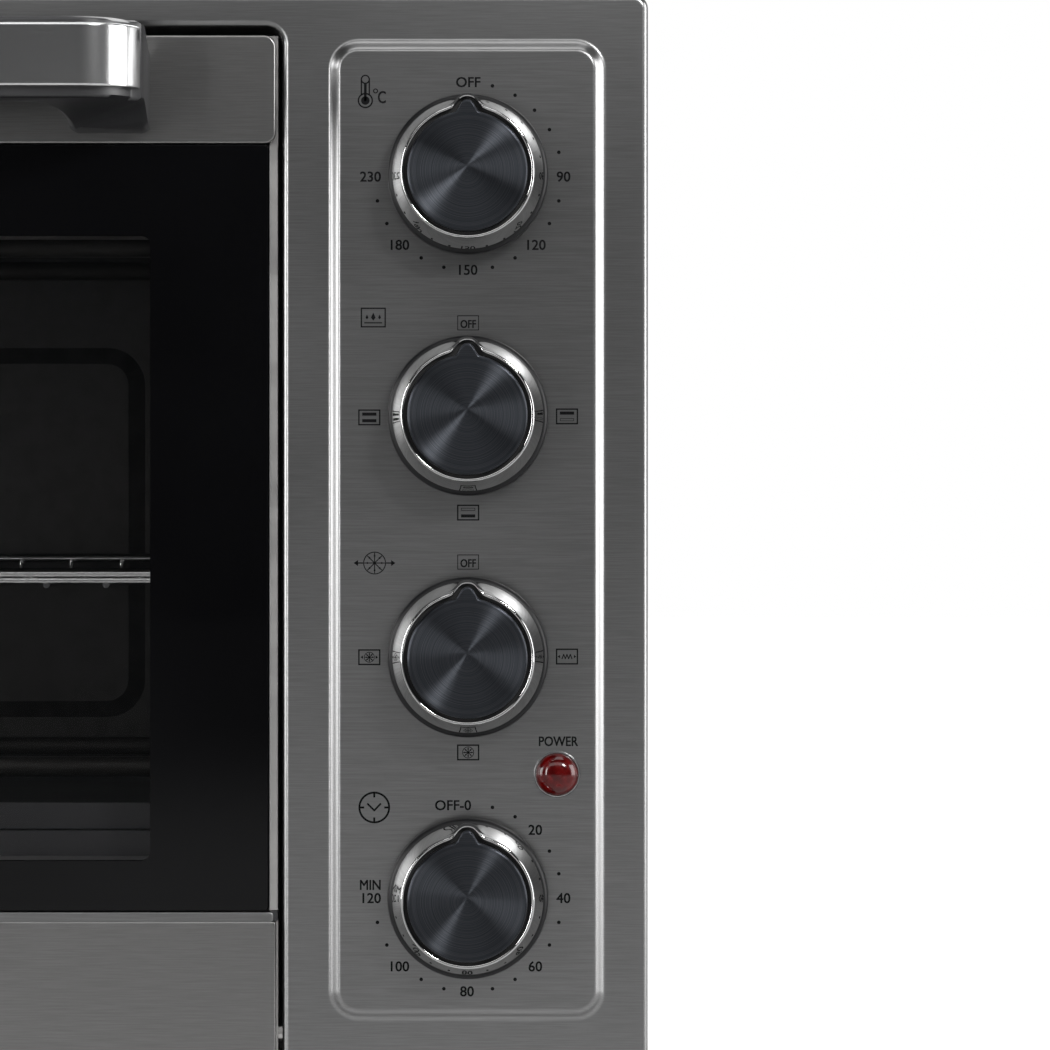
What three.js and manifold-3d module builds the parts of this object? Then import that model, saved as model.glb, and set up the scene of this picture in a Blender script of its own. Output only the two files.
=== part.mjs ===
// A countertop toaster oven: a drop-down glass door, a wire rack that the opening door draws
// out, and four rotary controls on a raised panel beside the door.
// Millimetres, +Z up. The front faces -Y and +X is to the right of someone facing it.
// The origin lies on the table, under the centre of the oven's bounding box.

import * as THREE from 'three';
import { mergeVertices } from 'three/addons/utils/BufferGeometryUtils.js';
import Module from 'manifold-3d';

const wasm = await Module();
wasm.setup();

// ---- driving dimensions ----
const WIDTH = 545;
const HEIGHT = 353;
const FOOT_HEIGHT = 18;
const SHEET = 1;
const GAP = 0.3;
const REAR_END = 195;

const PANEL_Y = -155;
const PANEL_FLANGE = 14;
const PANEL_CORNER = 4;
const REAR_PANEL_Y = 183;

const OPENING = { x0: -259, x1: 161.6, z0: 24, z1: 343.2, radius: 5 };
const PLATEAU = { x0: 179.8, x1: 255.5, z0: 46.2, z1: 335.2, radius: 4.5 };
const PLATEAU_RISE = 2.5;
const PLATEAU_SLOPE = 4.5;

const CAVITY = { x0: -246, x1: 149, z0: 98, z1: 292, y0: -130, y1: 168 };
const FRONT_FRAME_Y = -131;

const DOOR = { x0: -257.6, x1: 160.2, z0: 27.7, z1: 340.7 };
const DOOR_BACK = -133;
const DOOR_LUG_BACK = -143;
const DOOR_FRAME_BOTTOM = 41.5;
const DOOR_SIDE_WALL = 2.4;
const GLASS = { z0: 75.2, z1: 307.5, thickness: 4 };
const WINDOW = { x0: -219, x1: 121.6, z0: 90.4, z1: 280, radius: 3 };
const STRIP_DEPTH = 3;
const STRIP_INSET = 0.6;
const PIVOT = { y: -148, z: 37.4, radius: 2.5 };

const HANDLE = { x0: -219, x1: 121.6, y: -195, radius: 19 };
const HANDLE_TRIM = { z0: 321.6, z1: 340.4, thickness: 3, back: -182 };
const HANDLE_BODY = { z0: 318.3, z1: 342.5, back: -178, leg: 24 };

const KNOB_X = 218;
const KNOB_TOP_Z = 297.9;
const KNOB_PITCH = 72.75;
const KNOB_NAMES = ['temperature', 'heating', 'convection', 'timer'];
const CONTROL_NAMES = ['thermostat_body', 'heating_switch', 'convection_switch', 'timer_body'];
const SHAFT_RADIUS = 3;
const LAMP = { x: 244.9, z: 116.8, radius: 6.4 };

const GUIDE_LEVELS = [134, 174, 232];
const GUIDE_REACH = 6;
const HEATER_RADIUS = 3.3;
const HEATERS = [
  { name: 'heater_top_front', y: -60, z: 282 },
  { name: 'heater_top_rear', y: 80, z: 282 },
  { name: 'heater_bottom_front', y: -60, z: 114 },
  { name: 'heater_bottom_rear', y: 80, z: 114 },
];
const SPIT = { y: -20, z: 200 };
const FAN = { y: 92, z: 195, radius: 40 };
const GLAND = { x: 205, z: 62, radius: 7 };
const FOOT_X = 235;
const FOOT_Y = [-115, 145];

// ---- materials ----
function finish(color, roughness, metalness) {
  return new THREE.MeshStandardMaterial({ color, roughness, metalness });
}

const BRUSHED_STEEL = finish(0x8d8f92, 0.38, 1);
const SILVER = finish(0xc4c6c9, 0.3, 1);
const CHROME = finish(0xd5d7da, 0.12, 1);
const SPUN_METAL = finish(0x23262c, 0.3, 1);
const BLACK_PLASTIC = finish(0x0b0b0c, 0.45, 0);
const BLACK_PAINT = finish(0x17181a, 0.5, 0.2);
const CAVITY_STEEL = finish(0x77797b, 0.5, 1);
const ZINC_STEEL = finish(0x9a9c9e, 0.45, 1);
const TINTED_GLASS = finish(0x101214, 0.06, 0);
const RED_LENS = finish(0xb01014, 0.2, 0);
const RUBBER = finish(0x111111, 0.85, 0);
const HEATER_STEEL = finish(0x3c3b3a, 0.55, 0.8);

// ---- solid tools ----
function toSolid(geometry) {
  const bare = geometry.clone();
  bare.deleteAttribute('normal');
  bare.deleteAttribute('uv');
  const merged = mergeVertices(bare, 1e-4);
  return new wasm.Manifold(new wasm.Mesh({
    numProp: 3,
    vertProperties: new Float32Array(merged.attributes.position.array),
    triVerts: new Uint32Array(merged.index.array),
  }));
}

function toGeometry(solid) {
  const mesh = solid.getMesh();
  const geometry = new THREE.BufferGeometry();
  geometry.setAttribute('position', new THREE.BufferAttribute(mesh.vertProperties, 3));
  geometry.setIndex(new THREE.BufferAttribute(mesh.triVerts, 1));
  geometry.computeVertexNormals();
  return geometry;
}

function join(...geometries) {
  return toGeometry(geometries.map(toSolid).reduce((sum, next) => sum.add(next)));
}

function cut(base, ...tools) {
  return toGeometry(tools.map(toSolid).reduce((rest, tool) => rest.subtract(tool), toSolid(base)));
}

// ---- shape tools ----
function block(x0, x1, y0, y1, z0, z1) {
  const geometry = new THREE.BoxGeometry(x1 - x0, y1 - y0, z1 - z0);
  geometry.translate((x0 + x1) / 2, (y0 + y1) / 2, (z0 + z1) / 2);
  return geometry;
}

function rodX(radius, x0, x1, y, z, sides = 12) {
  const geometry = new THREE.CylinderGeometry(radius, radius, x1 - x0, sides);
  geometry.rotateZ(Math.PI / 2);
  geometry.translate((x0 + x1) / 2, y, z);
  return geometry;
}

function rodY(radius, y0, y1, x, z, sides = 16) {
  const geometry = new THREE.CylinderGeometry(radius, radius, y1 - y0, sides);
  geometry.translate(x, (y0 + y1) / 2, z);
  return geometry;
}

// A rectangle with round corners, grown outwards by `grow`.
function roundedRectangle({ x0, x1, z0, z1, radius }, grow = 0) {
  const [left, right, low, high] = [x0 - grow, x1 + grow, z0 - grow, z1 + grow];
  const r = radius + grow;
  const outline = new THREE.Shape();
  outline.moveTo(left + r, low);
  outline.absarc(right - r, low + r, r, -Math.PI / 2, 0);
  outline.absarc(right - r, high - r, r, 0, Math.PI / 2);
  outline.absarc(left + r, high - r, r, Math.PI / 2, Math.PI);
  outline.absarc(left + r, low + r, r, Math.PI, Math.PI * 1.5);
  return outline;
}

// An outline in x and z, given depth along y.
function plate(outline, yFront, yBack, bevel = {}) {
  const geometry = new THREE.ExtrudeGeometry(outline, {
    depth: yBack - yFront,
    bevelEnabled: false,
    curveSegments: 3,
    ...bevel,
  });
  geometry.rotateX(Math.PI / 2);
  geometry.translate(0, yBack, 0);
  return geometry;
}

// A tray-shaped pressing: a block hollowed out by a smaller block.
function hollowed(outer, inner) {
  return cut(block(...outer), block(...inner));
}

// A profile of [radius, height] points spun about an axis that points to the front.
function spunForward(profile, x, y, z, sides = 20) {
  const points = profile.map(([radius, height]) => new THREE.Vector2(radius, height));
  const geometry = new THREE.LatheGeometry(points, sides);
  geometry.rotateZ(Math.PI);
  geometry.translate(x, y, z);
  return geometry;
}

// Evenly spaced centres, `count` of them, about `middle`.
function spread(count, pitch, middle) {
  return Array.from({ length: count }, (_, i) => middle + (i - (count - 1) / 2) * pitch);
}

const oven = new THREE.Group();

function add(name, geometry, material) {
  const mesh = new THREE.Mesh(geometry, material);
  mesh.name = name;
  oven.add(mesh);
}

const halfWidth = WIDTH / 2;
const plateauFront = PANEL_Y - PLATEAU_RISE;
const knobHeights = KNOB_NAMES.map((_, i) => KNOB_TOP_Z - i * KNOB_PITCH);

// ---- casing ----
function plateauBody(shift) {
  const bevel = {
    bevelEnabled: true,
    bevelThickness: PLATEAU_RISE,
    bevelSize: PLATEAU_SLOPE,
    bevelSegments: 1,
  };
  return plate(roundedRectangle(PLATEAU), PANEL_Y + shift, PANEL_Y + shift + SHEET / 2, bevel);
}

function frontPanel() {
  const rim = { x0: -halfWidth, x1: halfWidth, z0: FOOT_HEIGHT, z1: HEIGHT, radius: PANEL_CORNER };
  const pressing = cut(
    plate(roundedRectangle(rim), PANEL_Y, PANEL_Y + PANEL_FLANGE),
    plate(roundedRectangle(rim, -SHEET), PANEL_Y + SHEET, PANEL_Y + PANEL_FLANGE + 1),
  );
  const doorway = plate(roundedRectangle(OPENING, SHEET), PANEL_Y, FRONT_FRAME_Y - GAP);
  const shaftHoles = knobHeights.map((z) => rodY(5, plateauFront - 1, PANEL_Y + 5, KNOB_X, z));
  return cut(
    join(pressing, doorway, plateauBody(0)),
    plateauBody(SHEET),
    plate(roundedRectangle(OPENING), PANEL_Y - 1, FRONT_FRAME_Y + 1),
    rodY(LAMP.radius, plateauFront - 1, PANEL_Y + 5, LAMP.x, LAMP.z),
    rodX(PIVOT.radius + GAP, OPENING.x0 - 3, OPENING.x1 + 3, PIVOT.y, PIVOT.z),
    ...shaftHoles,
  );
}

const coverHalf = halfWidth - SHEET - GAP;
const coverTop = HEIGHT - SHEET - GAP;
const coverFront = PANEL_Y + 5;
const coverBack = REAR_PANEL_Y - SHEET - GAP;

function coverOutline() {
  const r = PANEL_CORNER - SHEET;
  const low = FOOT_HEIGHT + PANEL_CORNER + GAP;
  const outline = new THREE.Shape();
  outline.moveTo(-coverHalf, low);
  outline.absarc(-coverHalf + r, coverTop - r, r, Math.PI, Math.PI / 2, true);
  outline.absarc(coverHalf - r, coverTop - r, r, Math.PI / 2, 0, true);
  outline.lineTo(coverHalf, low);
  outline.lineTo(coverHalf - SHEET, low);
  outline.absarc(coverHalf - r, coverTop - r, r - SHEET, 0, Math.PI / 2, false);
  outline.absarc(-coverHalf + r, coverTop - r, r - SHEET, Math.PI / 2, Math.PI, false);
  outline.lineTo(-coverHalf + SHEET, low);
  return outline;
}

const SIDE_VENTS = { count: 10, pitch: 15, y: 60, rows: [[70, 108], [296, 330]], slot: 4 };
const TOP_VENTS = { count: 12, pitch: 30, x: 0, rows: [[128, 132], [142, 146]], slot: 20 };

function outerCover() {
  const slots = [];
  for (const [z0, z1] of SIDE_VENTS.rows) {
    for (const y of spread(SIDE_VENTS.count, SIDE_VENTS.pitch, SIDE_VENTS.y)) {
      slots.push(block(-halfWidth, halfWidth, y - SIDE_VENTS.slot / 2, y + SIDE_VENTS.slot / 2, z0, z1));
    }
  }
  for (const [y0, y1] of TOP_VENTS.rows) {
    for (const x of spread(TOP_VENTS.count, TOP_VENTS.pitch, TOP_VENTS.x)) {
      slots.push(block(x - TOP_VENTS.slot / 2, x + TOP_VENTS.slot / 2, y0, y1, HEIGHT - 10, HEIGHT));
    }
  }
  return cut(plate(coverOutline(), coverFront, coverBack), ...slots);
}

const innerHalf = coverHalf - SHEET - GAP;
const REAR_FLANGE = 12;
const REAR_VENTS = { count: 12, pitch: 14, x: -70, z0: 250, z1: 300, slot: 5 };

function rearPanel() {
  const low = FOOT_HEIGHT + SHEET + GAP;
  const sheet = block(-coverHalf, coverHalf, REAR_PANEL_Y - SHEET, REAR_PANEL_Y, low, coverTop);
  const rim = {
    x0: -innerHalf, x1: innerHalf, z0: low + SHEET + GAP, z1: coverTop - SHEET - GAP, radius: 2 * SHEET,
  };
  const flange = cut(
    plate(roundedRectangle(rim), coverBack - REAR_FLANGE, REAR_PANEL_Y - SHEET / 2),
    plate(roundedRectangle(rim, -SHEET), coverBack - REAR_FLANGE - 1, REAR_PANEL_Y - SHEET),
  );
  const slots = spread(REAR_VENTS.count, REAR_VENTS.pitch, REAR_VENTS.x).map((x) => block(
    x - REAR_VENTS.slot / 2, x + REAR_VENTS.slot / 2,
    REAR_PANEL_Y - 3, REAR_PANEL_Y + 1, REAR_VENTS.z0, REAR_VENTS.z1,
  ));
  const glandHole = rodY(GLAND.radius, REAR_PANEL_Y - 3, REAR_PANEL_Y + 1, GLAND.x, GLAND.z);
  return cut(join(sheet, flange), glandHole, ...slots);
}

const BASE_FLANGE = 12;
const BASE_FRONT = PANEL_Y + PANEL_FLANGE + GAP;
const BASE_BACK = 169;

function basePan() {
  const low = FOOT_HEIGHT + GAP;
  const floor = block(-innerHalf, innerHalf, BASE_FRONT, BASE_BACK, low, low + SHEET);
  const sides = [-innerHalf, innerHalf - SHEET].map(
    (x) => block(x, x + SHEET, FRONT_FRAME_Y + 4, BASE_BACK, low, low + BASE_FLANGE),
  );
  const slots = spread(8, 16, 0).map((y) => block(175, 250, y - 2.5, y + 2.5, low - 1, low + 2));
  return cut(join(floor, ...sides), ...slots);
}

function foot(x, y) {
  const geometry = new THREE.CylinderGeometry(16, 13.5, FOOT_HEIGHT, 20);
  geometry.rotateX(Math.PI / 2);
  geometry.translate(x, y, FOOT_HEIGHT / 2);
  return geometry;
}

function rearSpacer(x) {
  return block(x - 22, x + 22, REAR_PANEL_Y + GAP, REAR_END, 296, 314);
}

function cordGland() {
  const neck = GLAND.radius - GAP;
  const tube = [[3.8, 0], [10, 0], [10, 4], [neck, 4], [neck, 12], [3.8, 12], [3.8, 0]];
  return spunForward(tube, GLAND.x, REAR_PANEL_Y + 4 + GAP, GLAND.z, 20);
}

add('front_panel', frontPanel(), BRUSHED_STEEL);
add('outer_cover', outerCover(), BLACK_PAINT);
add('rear_panel', rearPanel(), ZINC_STEEL);
add('base_pan', basePan(), ZINC_STEEL);
FOOT_Y.forEach((y, row) => {
  [-FOOT_X, FOOT_X].forEach((x, side) => {
    add(`foot_${row ? 'rear' : 'front'}_${side ? 'right' : 'left'}`, foot(x, y), RUBBER);
  });
});
add('rear_spacer_left', rearSpacer(-170), BLACK_PLASTIC);
add('rear_spacer_right', rearSpacer(170), BLACK_PLASTIC);
add('cord_gland', cordGland(), BLACK_PLASTIC);

// ---- cooking cavity ----
function frontFrame() {
  const outer = { x0: -265, x1: 168, z0: 21, z1: 346.5, radius: 2 };
  const mouth = { ...CAVITY, radius: 6 };
  return cut(
    plate(roundedRectangle(outer), FRONT_FRAME_Y, FRONT_FRAME_Y + SHEET),
    plate(roundedRectangle(mouth), FRONT_FRAME_Y - 1, FRONT_FRAME_Y + 2),
  );
}

// A side wall with pressed rack guides that reach into the cavity; `inward` is +1 or -1.
function sideWall(xInner, inward, ...holes) {
  const span = (a, b) => [Math.min(a, b), Math.max(a, b)];
  const [yFront, yBack] = [CAVITY.y0 + GAP, CAVITY.y1];
  const wall = block(...span(xInner, xInner - inward * SHEET), yFront, yBack, CAVITY.z0, CAVITY.z1);
  const guides = GUIDE_LEVELS.map((z) => block(
    ...span(xInner - inward * SHEET / 2, xInner + inward * GUIDE_REACH), -122, 156, z - 4, z,
  ));
  const heaterHoles = HEATERS.map(({ y, z }) => rodX(HEATER_RADIUS + GAP, xInner - 12, xInner + 12, y, z));
  return cut(join(wall, ...guides), ...heaterHoles, ...holes);
}

function rightWall() {
  const fanSlots = [];
  for (const [z0, z1] of [[142, 164], [180, 200], [206, 222]]) {
    for (const y of spread(7, 11, FAN.y)) {
      fanSlots.push(block(CAVITY.x1 - 1, CAVITY.x1 + 2, y - 2, y + 2, z0, z1));
    }
  }
  const spitHole = rodX(4, CAVITY.x1 - 3, CAVITY.x1 + 3, SPIT.y, SPIT.z);
  const bulbHole = rodX(2.9, CAVITY.x1 - 3, CAVITY.x1 + 3, BULB.y, BULB.z);
  return sideWall(CAVITY.x1, -1, spitHole, bulbHole, ...fanSlots);
}

const BACK_EMBOSS = { x0: -190.5, x1: 93.5, z0: 120.6, z1: 258.2, radius: 8 };

function backWall() {
  const low = CAVITY.z0 - SHEET;
  const high = CAVITY.z1 + SHEET;
  const sheet = block(CAVITY.x0, CAVITY.x1, CAVITY.y1 + GAP, CAVITY.y1 + GAP + SHEET, low, high);
  const bevel = { bevelEnabled: true, bevelThickness: 2, bevelSize: 6, bevelSegments: 1 };
  const inset = { ...BACK_EMBOSS, x0: -184.5, x1: 87.5, z0: 126.6, z1: 252.2 };
  const emboss = (shift) => plate(
    roundedRectangle(inset), CAVITY.y1 + GAP + shift, CAVITY.y1 + GAP + shift + 0.4, bevel,
  );
  return cut(join(sheet, emboss(0)), emboss(SHEET));
}

function crumbTray() {
  const low = CAVITY.z0 + GAP;
  return hollowed(
    [-243, 146, -126, 162, low, low + 8],
    [-242, 145, -125, 161, low + SHEET, low + 9],
  );
}

const RACK = { x0: -244, x1: 147, y0: -119, y1: 152, wire: 3.6, thin: 2.4, pitch: 18.5, count: 21 };

function wireRack() {
  const low = GUIDE_LEVELS[1] + GAP;
  const top = low + RACK.wire;
  const { x0, x1, y0, y1, wire, thin } = RACK;
  const sides = [x0, x1 - wire].map((x) => block(x, x + wire, y0, y1, low, top));
  const crossWires = [y0, (y0 + y1 - wire) / 2, y1 - wire].map((y) => block(x0, x1, y, y + wire, low, top));
  const backStop = block(x0, x1, y1 - wire, y1, low, top + 4);
  const fineWires = spread(RACK.count, RACK.pitch, (x0 + x1) / 2).map(
    (x) => block(x - thin / 2, x + thin / 2, y0 + 2, y1 - 1, low - 1.8, low + 0.6),
  );
  return join(...sides, ...crossWires, backStop, ...fineWires);
}

const BULB = { x: CAVITY.x1 - 5, y: -105, z: 258, length: 90, radius: 2.5 };

function thermostatBulb() {
  const end = BULB.y + BULB.length;
  const sensor = rodY(BULB.radius, BULB.y - BULB.radius, end, BULB.x, BULB.z, 10);
  return join(sensor, rodX(BULB.radius, BULB.x, CAVITY.x1 + 18, BULB.y, BULB.z, 10));
}

function spitSupport() {
  const plateBack = block(CAVITY.x0 + GAP, CAVITY.x0 + 2, SPIT.y - 12, SPIT.y + 12, SPIT.z - 20, SPIT.z + 10);
  const arm = block(CAVITY.x0 + 1, CAVITY.x0 + 10, SPIT.y - 8, SPIT.y + 8, SPIT.z - 12, SPIT.z);
  const notch = block(CAVITY.x0 + 3, CAVITY.x0 + 12, SPIT.y - 4, SPIT.y + 4, SPIT.z - 6, SPIT.z + 12);
  return cut(join(plateBack, arm), notch);
}

function spitCoupling() {
  const socket = rodX(7.5, CAVITY.x1 - 9, CAVITY.x1 - GAP, SPIT.y, SPIT.z, 16);
  const square = block(CAVITY.x1 - 10, CAVITY.x1 - 3, SPIT.y - 3.5, SPIT.y + 3.5, SPIT.z - 3.5, SPIT.z + 3.5);
  const shaft = rodX(3.5, CAVITY.x1 - 1, CAVITY.x1 + SHEET + 8, SPIT.y, SPIT.z);
  return cut(join(socket, shaft), square);
}

const MOTOR_START = CAVITY.x1 + SHEET + GAP;

function spitMotor() {
  const gearbox = block(MOTOR_START, MOTOR_START + 26, SPIT.y - 25, SPIT.y + 25, SPIT.z - 25, SPIT.z + 25);
  const can = rodX(19, MOTOR_START + 25, MOTOR_START + 44, SPIT.y, SPIT.z, 20);
  return cut(join(gearbox, can), rodX(3.5 + GAP, MOTOR_START - 1, MOTOR_START + 8, SPIT.y, SPIT.z));
}

const FAN_X = CAVITY.x1 + SHEET + 3;

function fanBlade() {
  const hub = rodX(9, FAN_X, FAN_X + 12, FAN.y, FAN.z, 16);
  const blades = [0, 60, 120].map((angle) => {
    const pair = block(FAN_X + 3, FAN_X + 5, -FAN.radius, FAN.radius, -8, 8);
    pair.rotateX(THREE.MathUtils.degToRad(angle));
    pair.translate(0, FAN.y, FAN.z);
    return pair;
  });
  return join(hub, ...blades);
}

function fanMotor() {
  const start = FAN_X + 12 + GAP;
  const stack = block(start, start + 22, FAN.y - 30, FAN.y + 30, FAN.z - 30, FAN.z + 30);
  return join(stack, rodX(22, start + 21, start + 34, FAN.y, FAN.z, 20));
}

const { x0: cx0, x1: cx1, y0: cy0, y1: cy1, z0: cz0, z1: cz1 } = CAVITY;
add('cavity_front_frame', frontFrame(), CAVITY_STEEL);
add('cavity_top', block(cx0, cx1, cy0 + GAP, cy1, cz1 + GAP, cz1 + GAP + SHEET), CAVITY_STEEL);
add('cavity_floor', block(cx0, cx1, cy0 + GAP, cy1, cz0 - GAP - SHEET, cz0 - GAP), CAVITY_STEEL);
add('cavity_back', backWall(), CAVITY_STEEL);
add('cavity_left_wall', sideWall(cx0, 1), CAVITY_STEEL);
add('cavity_right_wall', rightWall(), CAVITY_STEEL);
for (const { name, y, z } of HEATERS) {
  add(name, rodX(HEATER_RADIUS, cx0 - 11, cx1 + 11, y, z), HEATER_STEEL);
}
add('crumb_tray', crumbTray(), CAVITY_STEEL);
add('wire_rack', wireRack(), CHROME);
add('thermostat_bulb', thermostatBulb(), ZINC_STEEL);
add('spit_support', spitSupport(), ZINC_STEEL);
add('spit_coupling', spitCoupling(), ZINC_STEEL);
add('spit_motor', spitMotor(), ZINC_STEEL);
add('fan_blade', fanBlade(), ZINC_STEEL);
add('fan_motor', fanMotor(), ZINC_STEEL);

// ---- door ----
function doorFrame() {
  const shell = hollowed(
    [DOOR.x0, DOOR.x1, PANEL_Y + STRIP_DEPTH + GAP, DOOR_BACK, DOOR_FRAME_BOTTOM, DOOR.z1],
    [DOOR.x0 + DOOR_SIDE_WALL, DOOR.x1 - DOOR_SIDE_WALL, PANEL_Y, DOOR_BACK - 1.2,
      DOOR_FRAME_BOTTOM + 1.2, DOOR.z1 - 1.2],
  );
  const edges = [DOOR.x0, DOOR.x1 - DOOR_SIDE_WALL].map((x) => block(
    x, x + DOOR_SIDE_WALL, PANEL_Y + 0.5, DOOR_BACK, GLASS.z0 + GAP, GLASS.z1 - GAP,
  ));
  const lugs = [DOOR.x0, DOOR.x1 - DOOR_SIDE_WALL].map((x) => block(
    x, x + DOOR_SIDE_WALL, PANEL_Y + STRIP_DEPTH + GAP, DOOR_LUG_BACK, PIVOT.z - 7, DOOR_FRAME_BOTTOM + 2,
  ));
  const tunnelFront = PANEL_Y + GLASS.thickness + GAP;
  const tunnel = plate(roundedRectangle(WINDOW, 1.2), tunnelFront, DOOR_BACK);
  const view = plate(roundedRectangle(WINDOW), PANEL_Y - 1, DOOR_BACK + 1);
  const bore = rodX(PIVOT.radius + GAP, DOOR.x0 - 1, DOOR.x1 + 1, PIVOT.y, PIVOT.z);
  return cut(join(shell, tunnel, ...edges, ...lugs), view, bore);
}

function doorGlass() {
  const side = DOOR_SIDE_WALL + GAP;
  return block(
    DOOR.x0 + side, DOOR.x1 - side, PANEL_Y, PANEL_Y + GLASS.thickness, GLASS.z0, GLASS.z1,
  );
}

// A shallow channel across the door, open towards the cavity.
function doorStrip(z0, z1) {
  const [x0, x1] = [DOOR.x0 + STRIP_INSET, DOOR.x1 - STRIP_INSET];
  return hollowed(
    [x0, x1, PANEL_Y, PANEL_Y + STRIP_DEPTH, z0, z1],
    [x0 - 1, x1 + 1, PANEL_Y + SHEET, PANEL_Y + STRIP_DEPTH + 1, z0 + SHEET, z1 - SHEET],
  );
}

// One side of the handle's outline seen from above, set in from its outer face by `inset`.
function handleCurve(outline, inset, yEnd, clockwise) {
  const [left, right, front] = [HANDLE.x0 + inset, HANDLE.x1 - inset, HANDLE.y + inset];
  const r = HANDLE.radius - inset;
  if (clockwise) {
    outline.lineTo(right, yEnd);
    outline.absarc(right - r, front + r, r, 0, -Math.PI / 2, true);
    outline.absarc(left + r, front + r, r, -Math.PI / 2, -Math.PI, true);
    outline.lineTo(left, yEnd);
  } else {
    outline.moveTo(left, yEnd);
    outline.absarc(left + r, front + r, r, Math.PI, Math.PI * 1.5, false);
    outline.absarc(right - r, front + r, r, -Math.PI / 2, 0, false);
    outline.lineTo(right, yEnd);
  }
}

function upright(outline, z0, z1) {
  const geometry = new THREE.ExtrudeGeometry(outline, {
    depth: z1 - z0,
    bevelEnabled: false,
    curveSegments: 6,
  });
  geometry.translate(0, 0, z0);
  return geometry;
}

// The trim wraps the bar's front and most of its two bends.
function handleTrim() {
  const bendEnd = HANDLE.y + HANDLE.radius;
  const outline = new THREE.Shape();
  handleCurve(outline, 0, bendEnd, false);
  handleCurve(outline, HANDLE_TRIM.thickness, bendEnd, true);
  const rear = block(HANDLE.x0 - 1, HANDLE.x1 + 1, HANDLE_TRIM.back, PANEL_Y, 0, HEIGHT);
  return cut(upright(outline, HANDLE_TRIM.z0, HANDLE_TRIM.z1), rear);
}

// The bar and both legs, with the outer face set in by `inset`.
function handleCore(inset) {
  const foot = PANEL_Y - GAP;
  const [innerLeft, innerRight] = [HANDLE.x0 + HANDLE_BODY.leg, HANDLE.x1 - HANDLE_BODY.leg];
  const fillet = 10;
  const outline = new THREE.Shape();
  handleCurve(outline, inset, foot, false);
  outline.lineTo(innerRight, foot);
  outline.absarc(innerRight - fillet, HANDLE_BODY.back + fillet, fillet, 0, -Math.PI / 2, true);
  outline.absarc(innerLeft + fillet, HANDLE_BODY.back + fillet, fillet, -Math.PI / 2, -Math.PI, true);
  outline.lineTo(innerLeft, foot);
  return upright(outline, HANDLE_BODY.z0, HANDLE_BODY.z1);
}

function handleBody() {
  const seat = block(HANDLE.x0 - 1, HANDLE.x1 + 1, HANDLE.y - 1, HANDLE_TRIM.back + GAP, 0, HEIGHT);
  return join(handleCore(HANDLE_TRIM.thickness + GAP), cut(handleCore(0), seat));
}

// `outward` is the direction from the door towards the casing.
function hingePin(xSide, outward) {
  const reach = (distance) => xSide + outward * distance;
  const spanX = (a, b) => [Math.min(reach(a), reach(b)), Math.max(reach(a), reach(b))];
  const pin = rodX(PIVOT.radius, ...spanX(-5, 6), PIVOT.y, PIVOT.z);
  const head = rodX(3.4, ...spanX(-6, -DOOR_SIDE_WALL - GAP), PIVOT.y, PIVOT.z);
  return join(pin, head);
}

add('door_frame', doorFrame(), CAVITY_STEEL);
add('door_glass', doorGlass(), TINTED_GLASS);
add('door_top_strip', doorStrip(GLASS.z1 + GAP, DOOR.z1), BRUSHED_STEEL);
add('door_bottom_strip', doorStrip(DOOR.z0, GLASS.z0 - GAP), BRUSHED_STEEL);
add('handle_body', handleBody(), BLACK_PLASTIC);
add('handle_trim', handleTrim(), SILVER);
add('hinge_pin_left', hingePin(DOOR.x0, -1), ZINC_STEEL);
add('hinge_pin_right', hingePin(DOOR.x1, 1), ZINC_STEEL);

// ---- controls ----
// Heights above the raised panel.
const KNOB = { skirt: 24.2, skirtTop: 7.6, core: 18.2, coreTop: 17.4, bore: 10, face: 19.9 };
const POINTER = { tip: 21, tipHalf: 1.2, baseHalf: 3.5, base: 16.5, low: KNOB.coreTop + GAP, high: 19.5 };

function knobBody(z) {
  const bore = SHAFT_RADIUS + GAP;
  const profile = [
    [0, KNOB.bore], [bore, KNOB.bore], [bore, GAP], [KNOB.skirt, GAP], [KNOB.skirt, KNOB.skirtTop - 1.2],
    [KNOB.skirt - 1.4, KNOB.skirtTop], [KNOB.core, KNOB.skirtTop], [KNOB.core, KNOB.coreTop],
    [0, KNOB.coreTop],
  ];
  return spunForward(profile, KNOB_X, plateauFront, z);
}

// The pointer that stands out of the cap's edge at twelve o'clock, grown on all sides by `grow`.
function pointer(z, grow, high) {
  const wedge = new THREE.Shape();
  wedge.moveTo(KNOB_X - POINTER.baseHalf - grow, z + POINTER.base);
  wedge.lineTo(KNOB_X + POINTER.baseHalf + grow, z + POINTER.base);
  wedge.lineTo(KNOB_X + POINTER.tipHalf + grow, z + POINTER.tip + grow);
  wedge.lineTo(KNOB_X - POINTER.tipHalf - grow, z + POINTER.tip + grow);
  return plate(wedge, plateauFront - high, plateauFront - POINTER.low + grow);
}

function knobRing(z) {
  const inner = KNOB.core + GAP;
  const low = KNOB.skirtTop + GAP;
  const profile = [[inner, low], [22.6, low], [22.6, 9], [19.2, 18.8], [inner, 18.8], [inner, low]];
  return cut(spunForward(profile, KNOB_X, plateauFront, z), pointer(z, GAP, POINTER.high + 1));
}

function knobCap(z) {
  const low = KNOB.coreTop + GAP;
  const edge = KNOB.core - GAP;
  const profile = [[0, low], [edge, low], [edge, KNOB.face - 0.4], [edge - 0.5, KNOB.face], [0, KNOB.face]];
  return join(spunForward(profile, KNOB_X, plateauFront, z), pointer(z, 0, POINTER.high));
}

const CONTROL = { half: 20, back: -124, neckRadius: 4.6, boreBack: -146 };

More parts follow.
